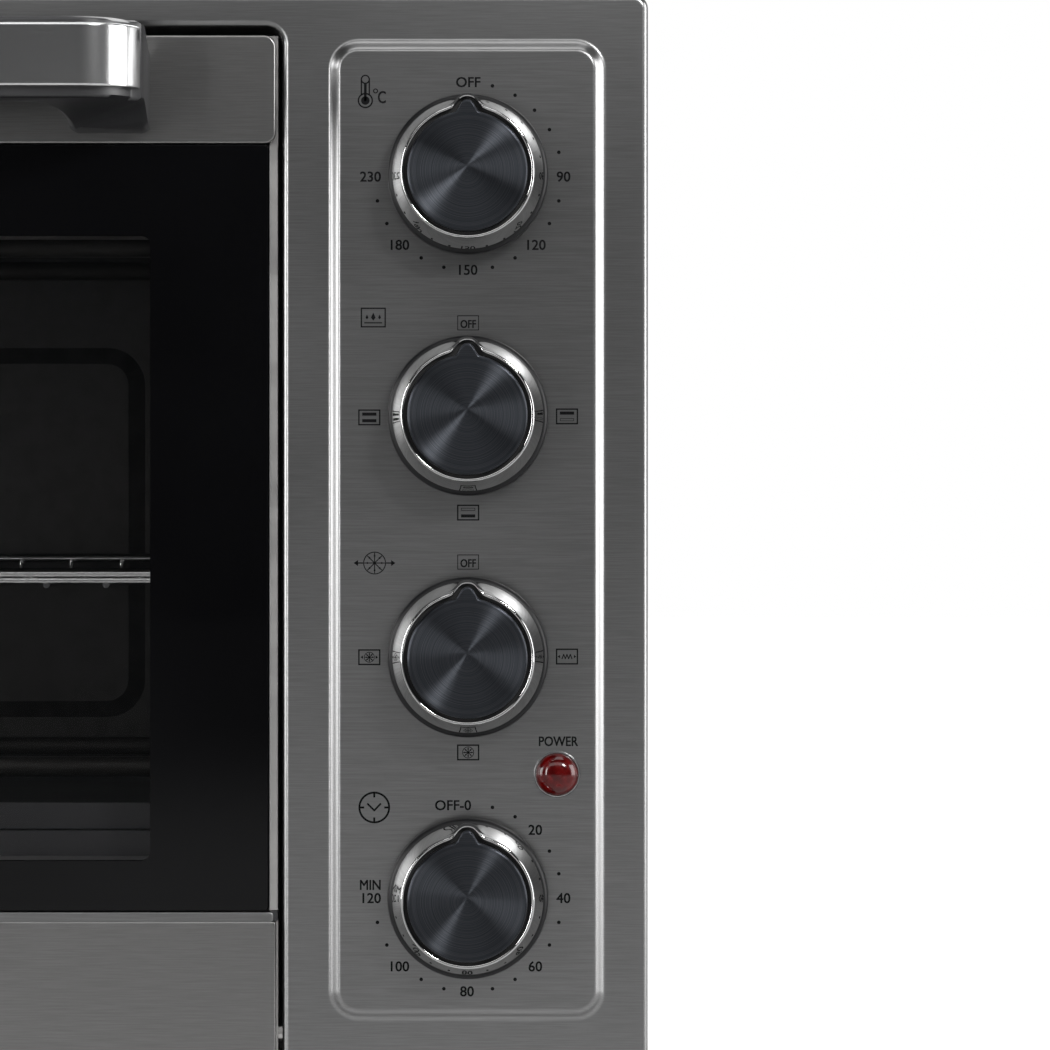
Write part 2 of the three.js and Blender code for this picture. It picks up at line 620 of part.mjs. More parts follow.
function controlBody(z) {
  const box = block(
    KNOB_X - CONTROL.half, KNOB_X + CONTROL.half, PANEL_Y + 2, CONTROL.back,
    z - CONTROL.half, z + CONTROL.half,
  );
  const neck = rodY(CONTROL.neckRadius, plateauFront, PANEL_Y + 3, KNOB_X, z);
  const bore = rodY(SHAFT_RADIUS + GAP, plateauFront - 1, CONTROL.boreBack, KNOB_X, z);
  return cut(join(box, neck), bore);
}

function knobShaft(z) {
  const front = plateauFront - KNOB.bore + GAP;
  return rodY(SHAFT_RADIUS, front, CONTROL.boreBack - GAP, KNOB_X, z, 12);
}

knobHeights.forEach((z, i) => {
  add(CONTROL_NAMES[i], controlBody(z), BLACK_PLASTIC);
  add(`knob_body_${KNOB_NAMES[i]}`, knobBody(z), BLACK_PLASTIC);
  add(`knob_ring_${KNOB_NAMES[i]}`, knobRing(z), CHROME);
  add(`knob_cap_${KNOB_NAMES[i]}`, knobCap(z), SPUN_METAL);
  add(`knob_shaft_${KNOB_NAMES[i]}`, knobShaft(z), ZINC_STEEL);
});

function powerLamp() {
  const barrel = LAMP.radius - GAP;
  const profile = [
    [0, 4.6], [3, 4.1], [5.2, 2.8], [6.2, 1.6], [7, 1.4], [7, GAP], [barrel, GAP], [barrel, -16], [0, -16],
  ];
  return spunForward(profile.reverse(), LAMP.x, plateauFront, LAMP.z, 20);
}

add('power_lamp', powerLamp(), RED_LENS);

export default oven;
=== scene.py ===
import math

import bmesh
import bpy
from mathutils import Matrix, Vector


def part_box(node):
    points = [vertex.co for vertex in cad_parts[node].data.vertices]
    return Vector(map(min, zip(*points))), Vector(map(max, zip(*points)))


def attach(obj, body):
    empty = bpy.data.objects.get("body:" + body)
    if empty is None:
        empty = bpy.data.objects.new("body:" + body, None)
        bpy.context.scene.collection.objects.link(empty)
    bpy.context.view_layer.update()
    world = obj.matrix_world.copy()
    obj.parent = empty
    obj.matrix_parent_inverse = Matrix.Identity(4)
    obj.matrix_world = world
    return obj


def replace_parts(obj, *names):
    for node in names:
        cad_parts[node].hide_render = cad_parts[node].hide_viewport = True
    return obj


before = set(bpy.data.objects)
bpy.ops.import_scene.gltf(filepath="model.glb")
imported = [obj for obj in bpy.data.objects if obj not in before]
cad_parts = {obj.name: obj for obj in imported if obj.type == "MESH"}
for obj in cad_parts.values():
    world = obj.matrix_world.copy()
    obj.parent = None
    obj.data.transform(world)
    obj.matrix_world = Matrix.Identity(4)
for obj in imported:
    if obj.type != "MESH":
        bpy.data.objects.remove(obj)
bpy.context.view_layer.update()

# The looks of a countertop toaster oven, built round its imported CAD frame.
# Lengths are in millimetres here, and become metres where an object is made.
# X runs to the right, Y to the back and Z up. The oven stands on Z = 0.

MM = 0.001
scene = bpy.context.scene


def node_box(*nodes):
    """The lowest and highest corner round some CAD nodes, in millimetres."""
    corners = [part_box(node) for node in nodes]
    low = [min(corner[0][i] for corner in corners) / MM for i in range(3)]
    high = [max(corner[1][i] for corner in corners) / MM for i in range(3)]
    return Vector(low), Vector(high)


def node_centre(node):
    low, high = node_box(node)
    return (low + high) / 2


# ---- places that the frame gives ----
PANEL = node_box("front_panel")
DOOR = node_box("door_frame", "door_top_strip", "door_bottom_strip")
GLASS = node_box("door_glass")
TOP_STRIP = node_box("door_top_strip")
BOTTOM_STRIP = node_box("door_bottom_strip")
HANDLE = node_box("handle_trim")
HANDLE_CORE = node_box("handle_body")
RACK = node_box("wire_rack")
KNOBS = ["temperature", "heating", "convection", "timer"]
KNOB_CENTRES = [node_centre(f"knob_shaft_{name}") for name in KNOBS]
PANEL_FACE = GLASS[0].y
PLATEAU_FACE = PANEL[0].y

# ---- driving dimensions ----
# The door's opening in the front panel: the gap beside the door, the lower and upper edge, the corners.
OPENING_MARGIN = 1.4
OPENING_BOTTOM = 24.0
OPENING_TOP = 343.2
OPENING_RADIUS = 5.0
# The raised plateau round the knobs: half its width, its middle right of the knobs, its reach past the
# outer knobs, its middle above the knobs, its corners, and the width of the slope round it.
PLATEAU_HALF = 37.85
PLATEAU_SHIFT = -0.35
PLATEAU_END = 35.4
PLATEAU_LIFT = 1.9
PLATEAU_RADIUS = 5.0
PLATEAU_SLOPE = 4.6
# The clear window in the black print of the glass: left, right, bottom and top.
WINDOW = (-219.0, 121.6, 90.4, 280.0)
HANDLE_BEND = 19.0
# The camera looks straight back. FRAME_WIDTH is how much its picture spans at the panel's face.
CAMERA_DISTANCE = 1400.0
FRAME_WIDTH = 318.2
CAMERA_X = 235.2
CAMERA_Z = 192.2


# ---- mesh tools ----
FLAT_FACE_WEIGHT = 90
MERGE_METRES = 1e-7
BEVEL_ABOVE_DEGREES = 40
SMALLEST_CORNER = 0.05
SMALLEST_RADIUS = 0.001


def make(name, vertices, faces, material, body, slot, smooth=True, origin=(0, 0, 0)):
    """A mesh piece from millimetre points, riding on a CAD body."""
    shift = Vector(origin)
    mesh = bpy.data.meshes.new(name)
    mesh.from_pydata([(Vector(v) - shift) * MM for v in vertices], [], faces)
    work = bmesh.new()
    work.from_mesh(mesh)
    bmesh.ops.remove_doubles(work, verts=work.verts, dist=MERGE_METRES)
    bmesh.ops.recalc_face_normals(work, faces=work.faces)
    work.to_mesh(mesh)
    work.free()
    mesh.materials.append(material)
    for polygon in mesh.polygons:
        polygon.use_smooth = smooth
    piece = bpy.data.objects.new(name, mesh)
    piece.location = shift * MM
    scene.collection.objects.link(piece)
    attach(piece, body)
    return piece


def keep_flat(piece, keep_sharp):
    """Lets the large faces of a piece decide its shading, so that they look flat."""
    weighted = piece.modifiers.new("flat faces", "WEIGHTED_NORMAL")
    weighted.keep_sharp = keep_sharp
    weighted.weight = FLAT_FACE_WEIGHT


def crisp(piece, angle):
    """Keeps flat faces flat and marks edges sharper than `angle` degrees."""
    mesh = piece.data
    work = bmesh.new()
    work.from_mesh(mesh)
    for edge in work.edges:
        if len(edge.link_faces) == 2 and edge.calc_face_angle() > math.radians(angle):
            edge.smooth = False
    work.to_mesh(mesh)
    work.free()
    keep_flat(piece, True)
    return piece


def soften(piece, width, segments=2):
    """Rounds the edges of a plain piece by `width` millimetres."""
    bevel = piece.modifiers.new("round edges", "BEVEL")
    bevel.width = width * MM
    bevel.segments = segments
    bevel.limit_method = "ANGLE"
    bevel.angle_limit = math.radians(BEVEL_ABOVE_DEGREES)
    keep_flat(piece, False)


def skin(loops, cap_start=False, cap_end=False):
    """Quads between loops of equal length, as (vertices, faces)."""
    count = len(loops[0])
    vertices = [point for loop in loops for point in loop]
    faces = []
    for row in range(len(loops) - 1):
        a, b = row * count, (row + 1) * count
        for i in range(count):
            j = (i + 1) % count
            faces.append((a + i, a + j, b + j, b + i))
    if cap_start:
        faces.append(tuple(range(count)))
    if cap_end:
        faces.append(tuple(range(len(vertices) - count, len(vertices))))
    return vertices, faces


def combine(*parts):
    """Several (vertices, faces) parts as one."""
    vertices, faces = [], []
    for part_vertices, part_faces in parts:
        shift = len(vertices)
        vertices += list(part_vertices)
        faces += [tuple(i + shift for i in face) for face in part_faces]
    return vertices, faces


def arc(start, end, steps):
    """Cosine and sine pairs for angles in degrees, ends included."""
    angles = [math.radians(start + (end - start) * i / steps) for i in range(steps + 1)]
    return [(math.cos(a), math.sin(a)) for a in angles]


def inset_loop(rectangle, inset, radius, y, steps=6):
    """A round-cornered loop in a plane across y, inside a (left, right, bottom, top) rectangle."""
    left, right, bottom, top = rectangle
    r = max(radius - inset, SMALLEST_CORNER)
    x0, x1 = left + inset + r, right - inset - r
    z0, z1 = bottom + inset + r, top - inset - r
    points = []
    for x, z, start in ((x1, z0, -90), (x1, z1, 0), (x0, z1, 90), (x0, z0, 180)):
        points += [(x + r * c, y, z + r * s) for c, s in arc(start, start + 90, steps)]
    return points


def pressed(rectangle, corner, front, back, roll):
    """A plate with a rolled front edge, closed at the back."""
    loops = [inset_loop(rectangle, 0, corner, back)]
    for c, s in arc(0, 90, 4):
        loops.append(inset_loop(rectangle, roll * (1 - c), corner, front + roll * (1 - s)))
    return skin(loops, cap_start=True, cap_end=True)


def block(low, high):
    """A box between two corners."""
    (x0, y0, z0), (x1, y1, z1) = low, high
    base = [(x0, y0), (x1, y0), (x1, y1), (x0, y1)]
    return skin([[(x, y, z) for x, y in base] for z in (z0, z1)], True, True)


def tube(points, radius, sides=12):
    """A round tube along points, with flat ends."""
    path = [Vector(p) for p in points]
    loops = []
    normal = None
    for i, point in enumerate(path):
        before = path[i - 1] if i else point
        after = path[i + 1] if i + 1 < len(path) else point
        direction = (after - before).normalized()
        if normal is None:
            normal = direction.orthogonal().normalized()
        normal = (normal - direction * normal.dot(direction)).normalized()
        side = direction.cross(normal)
        loops.append([
            point + radius * (math.cos(t) * normal + math.sin(t) * side)
            for t in (2 * math.pi * k / sides for k in range(sides))
        ])
    return skin(loops, True, True)


def spun(profile, centre, axis="y", sides=64, bump=None):
    """A profile of (radius, height) points turned about an axis through `centre`.

    Height runs towards the front (-Y), along +X or along +Z. `bump` gives the extra radius at an
    angle, scaled by each profile point's optional third value.
    """
    loops = []
    for point in profile:
        radius, height = point[0], point[1]
        follow = point[2] if len(point) > 2 else 0.0
        loop = []
        for k in range(sides):
            t = 2 * math.pi * k / sides
            r = max(radius, SMALLEST_RADIUS) + (follow * bump(t) if bump else 0.0)
            a, b = r * math.sin(t), r * math.cos(t)
            offset = {"y": (a, -height, b), "x": (height, a, b), "z": (a, b, height)}[axis]
            loop.append(Vector(centre) + Vector(offset))
        loops.append(loop)
    return skin(loops, True, True)


def open_ring(vertices, faces, sides):
    """Joins the last row of a turned profile to its first, so that it is a ring and not a plug."""
    kept = [face for face in faces if len(face) == 4]
    last = len(vertices) - sides
    kept += [(last + i, last + (i + 1) % sides, (i + 1) % sides, i) for i in range(sides)]
    return vertices, kept


# ---- materials ----
# Numbers of node sockets that share their name with others: a map's from low, from high, to low and
# to high, and a mix's first colour, second colour and result.
MAP_SOCKETS = (1, 2, 3, 4)
MIX_FIRST = 6
MIX_SECOND = 7
MIX_RESULT = 2


class Surface:
    """A Principled material whose colour, roughness and height come from procedural nodes."""

    def __init__(self, name, metallic=0.0, **constants):
        self.material = bpy.data.materials.new(name)
        self.material.use_nodes = True
        self.tree = self.material.node_tree
        self.shader = self.tree.nodes["Principled BSDF"]
        self.shader.inputs["Metallic"].default_value = metallic
        for socket, value in constants.items():
            self.shader.inputs[socket.replace("_", " ")].default_value = value
        self.place = self.node("ShaderNodeTexCoord").outputs["Object"]

    def node(self, kind, **settings):
        made = self.tree.nodes.new(kind)
        for key, value in settings.items():
            setattr(made, key, value)
        return made

    def link(self, source, target):
        self.tree.links.new(source, target)

    def noise(self, per_metre, detail=3.0, roughness=0.5):
        """Noise with its own number of features per metre along x, y and z."""
        mapping = self.node("ShaderNodeMapping")
        mapping.inputs["Scale"].default_value = per_metre
        self.link(self.place, mapping.inputs["Vector"])
        noise = self.node("ShaderNodeTexNoise")
        noise.inputs["Scale"].default_value = 1.0
        noise.inputs["Detail"].default_value = detail
        noise.inputs["Roughness"].default_value = roughness
        self.link(mapping.outputs["Vector"], noise.inputs["Vector"])
        return noise.outputs["Fac"]

    def rings(self, per_metre):
        """Noise that runs round the object's own Y axis, as on turned metal."""
        flat = self.node("ShaderNodeVectorMath", operation="MULTIPLY")
        flat.inputs[1].default_value = (1, 0, 1)
        self.link(self.place, flat.inputs[0])
        radius = self.node("ShaderNodeVectorMath", operation="LENGTH")
        self.link(flat.outputs["Vector"], radius.inputs[0])
        noise = self.node("ShaderNodeTexNoise", noise_dimensions="1D")
        noise.inputs["Scale"].default_value = per_metre
        noise.inputs["Detail"].default_value = 2.0
        self.link(radius.outputs["Value"], noise.inputs["W"])
        return noise.outputs["Fac"]

    def spread(self, source, low, high, start=0.3, end=0.7):
        """Maps a factor smoothly from start..end onto low..high."""
        mapped = self.node("ShaderNodeMapRange", interpolation_type="SMOOTHSTEP")
        for socket, value in zip(MAP_SOCKETS, (start, end, low, high)):
            mapped.inputs[socket].default_value = value
        self.link(source, mapped.inputs["Value"])
        return mapped.outputs["Result"]

    def mix(self, factor, first, second):
        """A colour between two colours or colour sockets."""
        blend = self.node("ShaderNodeMix", data_type="RGBA")
        self.link(factor, blend.inputs["Factor"])
        for socket, value in ((MIX_FIRST, first), (MIX_SECOND, second)):
            if isinstance(value, bpy.types.NodeSocket):
                self.link(value, blend.inputs[socket])
            else:
                blend.inputs[socket].default_value = (*value, 1.0)
        return blend.outputs[MIX_RESULT]

    def color(self, source):
        self.link(source, self.shader.inputs["Base Color"])

    def roughness(self, source):
        self.link(source, self.shader.inputs["Roughness"])

    def bump(self, source, depth_mm):
        bump = self.node("ShaderNodeBump")
        bump.inputs["Distance"].default_value = depth_mm * MM
        self.link(source, bump.inputs["Height"])
        self.link(bump.outputs["Normal"], self.shader.inputs["Normal"])


def grey(value, warm=0.0):
    return (value * (1 + warm), value, value * (1 - warm))


def brushed_metal(name, dark, light, rough, grain, depth, warm=0.0):
    """Metal with fine parallel scratches; `grain` is features per metre along x, y and z."""
    surface = Surface(name, metallic=1.0)
    fine = surface.noise(grain, detail=4.0, roughness=0.65)
    cloudy = surface.noise((9, 9, 9), detail=2.0)
    scratched = surface.mix(surface.spread(fine, 0, 1), grey(dark, warm), grey(light, warm))
    stained = surface.mix(surface.spread(cloudy, 0.0, 0.12), scratched, grey(dark * 0.8, warm))
    surface.color(stained)
    surface.roughness(surface.spread(cloudy, rough[0], rough[1]))
    surface.bump(fine, depth)
    return surface.material


def moulded(name, color, rough, pimple=0.02, pitch=1500, **constants):
    """Plastic, rubber or paint with a fine moulded or sprayed texture."""
    surface = Surface(name, **constants)
    texture = surface.noise((pitch, pitch, pitch), detail=2.0)
    worn = surface.noise((22, 22, 22), detail=4.0)
    lighter = tuple(c * 1.35 + 0.002 for c in color)
    surface.color(surface.mix(surface.spread(worn, 0, 0.6), color, lighter))
    surface.roughness(surface.spread(worn, rough[0], rough[1]))
    surface.bump(texture, pimple)
    return surface.material


def plated(name, value, rough, warm=0.0):
    """Bright plated or polished metal with faint smears."""
    surface = Surface(name, metallic=1.0)
    smear = surface.noise((60, 60, 140), detail=5.0)
    surface.color(surface.mix(surface.spread(smear, 0, 1), grey(value, warm), grey(value * 0.9, warm)))
    surface.roughness(surface.spread(smear, rough[0], rough[1]))
    surface.bump(smear, 0.01)
    return surface.material


def spun_face():
    """Dark anodised metal turned on a lathe: fine rings that catch light in two fans."""
    surface = Surface("spun metal", metallic=1.0, Anisotropic=0.97, Anisotropic_Rotation=0.25)
    rings = surface.rings(5200)
    broad = surface.rings(900)
    ring_tone = surface.mix(surface.spread(rings, 0, 1), (0.024, 0.026, 0.03), (0.056, 0.06, 0.068))
    surface.color(surface.mix(surface.spread(broad, 0.0, 0.3), ring_tone, (0.017, 0.0185, 0.022)))
    surface.roughness(surface.spread(rings, 0.31, 0.36))
    surface.bump(rings, 0.006)
    tangent = surface.node("ShaderNodeTangent", direction_type="RADIAL", axis="Y")
    surface.link(tangent.outputs["Tangent"], surface.shader.inputs["Tangent"])
    return surface.material


def aluminised():
    """Hot-dip aluminised sheet, very dark all over, with soft crystals and heat tint."""
    surface = Surface("aluminised sheet", metallic=0.85)
    spangle = surface.noise((160, 160, 160), detail=3.0)
    heat = surface.noise((7, 7, 7), detail=3.0)
    tone = surface.mix(surface.spread(spangle, 0, 1), grey(0.05), grey(0.07))
    surface.color(surface.mix(surface.spread(heat, 0.0, 0.35), tone, (0.045, 0.04, 0.034)))
    surface.roughness(surface.spread(spangle, 0.38, 0.55))
    surface.bump(spangle, 0.02)
    return surface.material


def glass(name, alpha, color):
    """Smooth glass with a faint film on it; `alpha` is how much light it holds back."""
    surface = Surface(name, Alpha=alpha, IOR=1.5, Specular_IOR_Level=0.16)
    film = surface.noise((14, 14, 14), detail=4.0)
    surface.color(surface.mix(surface.spread(film, 0, 1), color, tuple(c * 1.5 for c in color)))
    surface.roughness(surface.spread(film, 0.02, 0.06))
    return surface.material


def red_lens():
    """Dark red clear plastic with a very faint glow of its own."""
    surface = Surface("red lens", Transmission_Weight=0.25, Specular_IOR_Level=0.3, Coat_Weight=0.1)
    facets = surface.noise((500, 500, 500), detail=1.0)
    dark, bright = (0.03, 0.0004, 0.0004), (0.08, 0.0008, 0.0008)
    surface.color(surface.mix(surface.spread(facets, 0, 1), dark, bright))
    surface.roughness(surface.spread(facets, 0.08, 0.2))
    surface.shader.inputs["Emission Color"].default_value = (0.5, 0.0, 0.0, 1.0)
    surface.shader.inputs["Emission Strength"].default_value = 0.02
    return surface.material


ALONG_X = (70, 3000, 3000)
FRONT_STEEL = brushed_metal("front steel", 0.185, 0.235, (0.28, 0.31), ALONG_X, 0.0025)
STRIP_STEEL = brushed_metal("door strip steel", 0.19, 0.235, (0.28, 0.3), ALONG_X, 0.0025, warm=0.01)
SILVER = brushed_metal("handle silver", 0.62, 0.72, (0.16, 0.2), ALONG_X, 0.001)
SPUN = spun_face()
CHROME = plated("chrome", 0.44, (0.04, 0.08))
ZINC = plated("zinc plate", 0.46, (0.3, 0.38), warm=0.02)
WIRE = plated("polished wire", 0.98, (0.1, 0.16))
HEATER = moulded("heater sheath", (0.03, 0.028, 0.026), (0.5, 0.65), 0.03, Metallic=0.7)
ALUMINISED = aluminised()
KNOB_BLACK = moulded("knob black", (0.004, 0.004, 0.0045), (0.3, 0.42), 0.003, Specular_IOR_Level=0.2)
BLACK_PLASTIC = moulded("black plastic", (0.012, 0.012, 0.013), (0.34, 0.48), 0.012)
POWDER_COAT = moulded("black powder coat", (0.016, 0.016, 0.018), (0.42, 0.46), 0.05, pitch=900)
RUBBER = moulded("rubber", (0.012, 0.012, 0.012), (0.7, 0.9))
CERAMIC = moulded("ceramic", (0.62, 0.6, 0.55), (0.5, 0.7))
INK = moulded("black ink", (0.002, 0.002, 0.0025), (0.5, 0.65), 0.004, Specular_IOR_Level=0.08)
PRINTED_GLASS = glass("black printed glass", 1.0, (0.0012, 0.0012, 0.0014))
CLEAR_GLASS = glass("tinted glass", 0.24, (0.002, 0.0022, 0.0024))
LENS = red_lens()
# Near-black matte for the floor of the knob groove, and painted shade for the screws' cross recesses.
GROOVE_BLACK_AND_PAINTED_SHADE = moulded("knob groove", (0.003, 0.003, 0.0035), (0.5, 0.7), 0.004)

# What each CAD node that stays in view is made of.
NODE_FINISH = {
    ALUMINISED: ["cavity_top", "cavity_floor", "cavity_back", "cavity_left_wall", "cavity_right_wall"],
    ZINC: [
        "door_frame", "rear_panel", "base_pan", "thermostat_bulb", "spit_support", "spit_coupling",
        "spit_motor", "fan_blade", "fan_motor", "hinge_pin_left", "hinge_pin_right",
        *(f"knob_shaft_{name}" for name in KNOBS),
    ],
    POWDER_COAT: ["outer_cover", "cavity_front_frame", "crumb_tray"],
    BLACK_PLASTIC: [
        "thermostat_body", "heating_switch", "convection_switch", "timer_body", "cord_gland",
    ],
}
for finish, nodes in NODE_FINISH.items():
    for node in nodes:
        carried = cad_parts[node]
        carried.data.materials.clear()
        carried.data.materials.append(finish)


# ---- camera, floor and light ----
SENSOR_WIDTH = 36.0
# These two are in metres: the floor lies just under the feet and reaches out of every view.
FLOOR_HALF = 8.0
FLOOR_HEIGHT = -0.0005


def add_camera():
    camera = bpy.data.objects.new("camera", bpy.data.cameras.new("camera"))
    camera.location = Vector((CAMERA_X, PANEL_FACE - CAMERA_DISTANCE, CAMERA_Z)) * MM
    camera.rotation_euler = (math.radians(90), 0, 0)
    camera.data.sensor_width = SENSOR_WIDTH
    camera.data.lens = SENSOR_WIDTH * CAMERA_DISTANCE / FRAME_WIDTH
    camera.data.clip_end = 50
    scene.collection.objects.link(camera)
    scene.camera = camera


def add_floor():
    """A pale floor whose glow rises towards the back, where it runs into the white background."""
    floor_mesh = bpy.data.meshes.new("floor")
    corners = [(x * FLOOR_HALF, y * FLOOR_HALF, 0) for x, y in ((-1, -1), (1, -1), (1, 1), (-1, 1))]
    floor_mesh.from_pydata(corners, [], [(0, 1, 2, 3)])
    floor = bpy.data.objects.new("floor", floor_mesh)
    floor.location.z = FLOOR_HEIGHT
    pale = Surface("pale floor", Specular_IOR_Level=0.1)
    pale.color(pale.mix(pale.noise((3, 3, 3)), (0.42, 0.42, 0.42), (0.46, 0.46, 0.46)))
    pale.shader.inputs["Roughness"].default_value = 0.9
    pale.shader.inputs["Emission Color"].default_value = (1, 1, 1, 1)
    across = pale.node("ShaderNodeSeparateXYZ")
    pale.link(pale.place, across.inputs["Vector"])
    glow_start, glow_end = -0.45, 0.15
    glow = pale.spread(across.outputs["Y"], 0.0, 1.0, glow_start, glow_end)
    pale.link(glow, pale.shader.inputs["Emission Strength"])
    floor_mesh.materials.append(pale.material)
    scene.collection.objects.link(floor)


def add_world():
    """A white background to the camera; to everything else, dark in front and bright behind."""
    world = bpy.data.worlds.new("studio")
    scene.world = world
    world.use_nodes = True
    nodes, links = world.node_tree.nodes, world.node_tree.links
    seen = nodes["Background"]
    seen.inputs["Color"].default_value = (1, 1, 1, 1)
    lighting = nodes.new("ShaderNodeBackground")
    direction = nodes.new("ShaderNodeTexCoord")
    parts = nodes.new("ShaderNodeSeparateXYZ")
    links.new(direction.outputs["Generated"], parts.inputs["Vector"])
    rise = nodes.new("ShaderNodeMapRange")
    front, behind, dim, bright = -0.1, 0.6, 0.06, 0.6
    for socket, value in zip(MAP_SOCKETS, (front, behind, dim, bright)):
        rise.inputs[socket].default_value = value
    links.new(parts.outputs["Y"], rise.inputs["Value"])
    links.new(rise.outputs["Result"], lighting.inputs["Strength"])
    lighting.inputs["Color"].default_value = (0.97, 0.985, 1, 1)
    path = nodes.new("ShaderNodeLightPath")
    choice = nodes.new("ShaderNodeMixShader")
    links.new(path.outputs["Is Camera Ray"], choice.inputs["Fac"])
    links.new(lighting.outputs["Background"], choice.inputs[1])
    links.new(seen.outputs["Background"], choice.inputs[2])
    links.new(choice.outputs["Shader"], nodes["World Output"].inputs["Surface"])


def add_lamps():
    # Name, place, aim, width, height and watts, with the lengths in metres.
    lamps = [
        ("left strip", (-1.1, -1.9, 0.45), (0.1, 0, 0.2), 0.25, 1.0, 15),
        ("upper right spot", (1.1, -1.8, 1.25), (0.2, -0.2, 0.2), 0.32, 0.32, 24),
        ("overhead box", (0.2, -0.6, 1.7), (0.1, -0.2, 0.2), 1.4, 0.7, 8),
        ("left box", (-1.9, -0.75, 0.5), (0.1, 0, 0.2), 1.0, 1.4, 36),
        ("right box", (1.95, -0.6, 0.5), (0.1, 0, 0.2), 1.1, 1.4, 38),
        ("top bar", (0.1, -1.5, 1.1), (0.1, -0.05, 0.2), 1.6, 0.5, 5.5),
        ("back light", (0.3, 1.8, 1.5), (0, 0, 0.2), 1.6, 1.2, 18),
    ]
    for name, place, aim, width, height, watts in lamps:
        light = bpy.data.lights.new(name, "AREA")
        light.shape = "RECTANGLE"
        light.size, light.size_y, light.energy = width, height, watts
        lamp = bpy.data.objects.new(name, light)
        lamp.location = place
        lamp.rotation_mode = "QUATERNION"
        lamp.rotation_quaternion = (Vector(aim) - Vector(place)).to_track_quat("-Z", "Y")
        scene.collection.objects.link(lamp)


# ---- front panel ----
OPENING = (DOOR[0].x - OPENING_MARGIN, DOOR[1].x + OPENING_MARGIN, OPENING_BOTTOM, OPENING_TOP)
PLATEAU_X = KNOB_CENTRES[0].x + PLATEAU_SHIFT
PLATEAU = (
    PLATEAU_X - PLATEAU_HALF, PLATEAU_X + PLATEAU_HALF,
    KNOB_CENTRES[-1].z - PLATEAU_END + PLATEAU_LIFT, KNOB_CENTRES[0].z + PLATEAU_END + PLATEAU_LIFT,
)


def fill_between(outer, *holes):
    """Triangles that fill a flat face between an outer loop and its holes."""
    work = bmesh.new()
    edges = []
    for loop in (outer, *holes):
        made = [work.verts.new(point) for point in loop]
        edges += [work.edges.new((made[i - 1], made[i])) for i in range(len(made))]
    bmesh.ops.triangle_fill(work, use_beauty=True, use_dissolve=False, edges=edges)
    work.verts.index_update()
    vertices = [tuple(v.co) for v in work.verts]
    faces = [tuple(v.index for v in face.verts) for face in work.faces]
    work.free()
    return vertices, faces


def front_panel():
    """One pressing: rolled outer edge, flat face, rolled door opening and the raised plateau."""
    rim = (PANEL[0].x, PANEL[1].x, PANEL[0].z, PANEL[1].z)
    edge, corner, sheet, flange = 1.9, 4.0, 0.8, 13.8
    outside = [inset_loop(rim, 0, corner, PANEL_FACE + back) for back in (flange, edge)]
    for c, s in arc(0, 90, 6)[1:]:
        outside.append(inset_loop(rim, edge * (1 - c), corner, PANEL_FACE + edge * (1 - s)))
    lip, depth = 2.2, 22.0
    inside = []
    for c, s in arc(90, 0, 8):
        inside.append(inset_loop(OPENING, -lip * (1 - c), OPENING_RADIUS, PANEL_FACE + lip * (1 - s)))
    inside.append(inset_loop(OPENING, 0, OPENING_RADIUS, PANEL_FACE + depth))
    rise = PANEL_FACE - PLATEAU_FACE
    step = []
    steps, corner_steps = 14, 10
    for i in range(steps + 1):
        t = i / steps
        # This polynomial starts and ends level, so that the slope has no crease at either end.
        lift = rise * t * t * t * (t * (6 * t - 15) + 10)
        spread = PLATEAU_SLOPE * (1 - t)
        step.append(inset_loop(PLATEAU, -spread, PLATEAU_RADIUS, PANEL_FACE - lift, corner_steps))
    face = fill_between(outside[-1], inside[0], step[0])
    sheet_parts = combine(skin(outside), face, skin(inside), skin(step, cap_end=True))
    panel = make("front_panel_pressing", *sheet_parts, FRONT_STEEL, "casing", "brushed_steel")
    solid = panel.modifiers.new("sheet", "SOLIDIFY")
    solid.thickness = sheet * MM
    solid.offset = -1
    crisp(panel, 50)
    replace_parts(panel, "front_panel")


# ---- cover, back, feet ----
def screw(name, centre, axis, radius=3.4, material=ZINC, slot="zinc_steel"):
    """A pan-head screw whose cross recess is painted shade, standing on a face; `axis` points out of the
    face.
    """
    rim, shoulder, crown, top = 0.5, 1.3, 1.75, 1.9
    head = [(radius, 0), (radius, rim), (radius * 0.86, shoulder), (radius * 0.5, crown), (0.3, top)]
    kind = axis[-1]
    flip = -1 if axis in ("-x", "y", "-z") else 1
    profile = [(r, h * flip) for r, h in head]
    piece = make(name, *spun(profile, centre, kind, 24), material, "casing", slot)
    crisp(piece, 60)
    # The cross recess is painted shade: two dark slots lying on the head, not cut into it.
    reach, half = radius * 0.55, radius * 0.12
    shade_height, shade_thickness = top - 0.04, 0.1
    out = {"x": Vector((1, 0, 0)), "y": Vector((0, -1, 0)), "z": Vector((0, 0, 1))}[kind] * flip
    across = [Vector(v) for v in ((0, 0, 1), (0, 1, 0), (1, 0, 0)) if abs(Vector(v).dot(out)) < 0.5]
    painted_shade_slots = []
    for a, b in (across, across[::-1]):
        middle = Vector(centre) + out * shade_height
        long, short = a * reach, b * half
        far, near = middle + long, middle - long
        corners = [near - short, far - short, far + short, near + short]
        painted_shade_slots.append(skin([corners, [corner + out * shade_thickness for corner in corners]], True, True))
    make(f"{name}_painted_recess_shade", *combine(*painted_shade_slots), GROOVE_BLACK_AND_PAINTED_SHADE, "casing", slot, smooth=False)


def feet():
    for row in ("front", "rear"):
        for side in ("left", "right"):
            node = f"foot_{row}_{side}"
            low, high = node_box(node)
            middle = (low + high) / 2
            top = high.z
            profile = [
                (11.5, 0), (13.2, 0.6), (13.9, 2), (14.6, 8),
                (15.6, top - 3), (16.0, top - 1.2), (15.6, top),
            ]
            turned = spun(profile, (middle.x, middle.y, 0), "z", 48)
            foot = make(node + "_moulded", *turned, RUBBER, "casing", "rubber")
            crisp(foot, 50)
            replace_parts(foot, node)


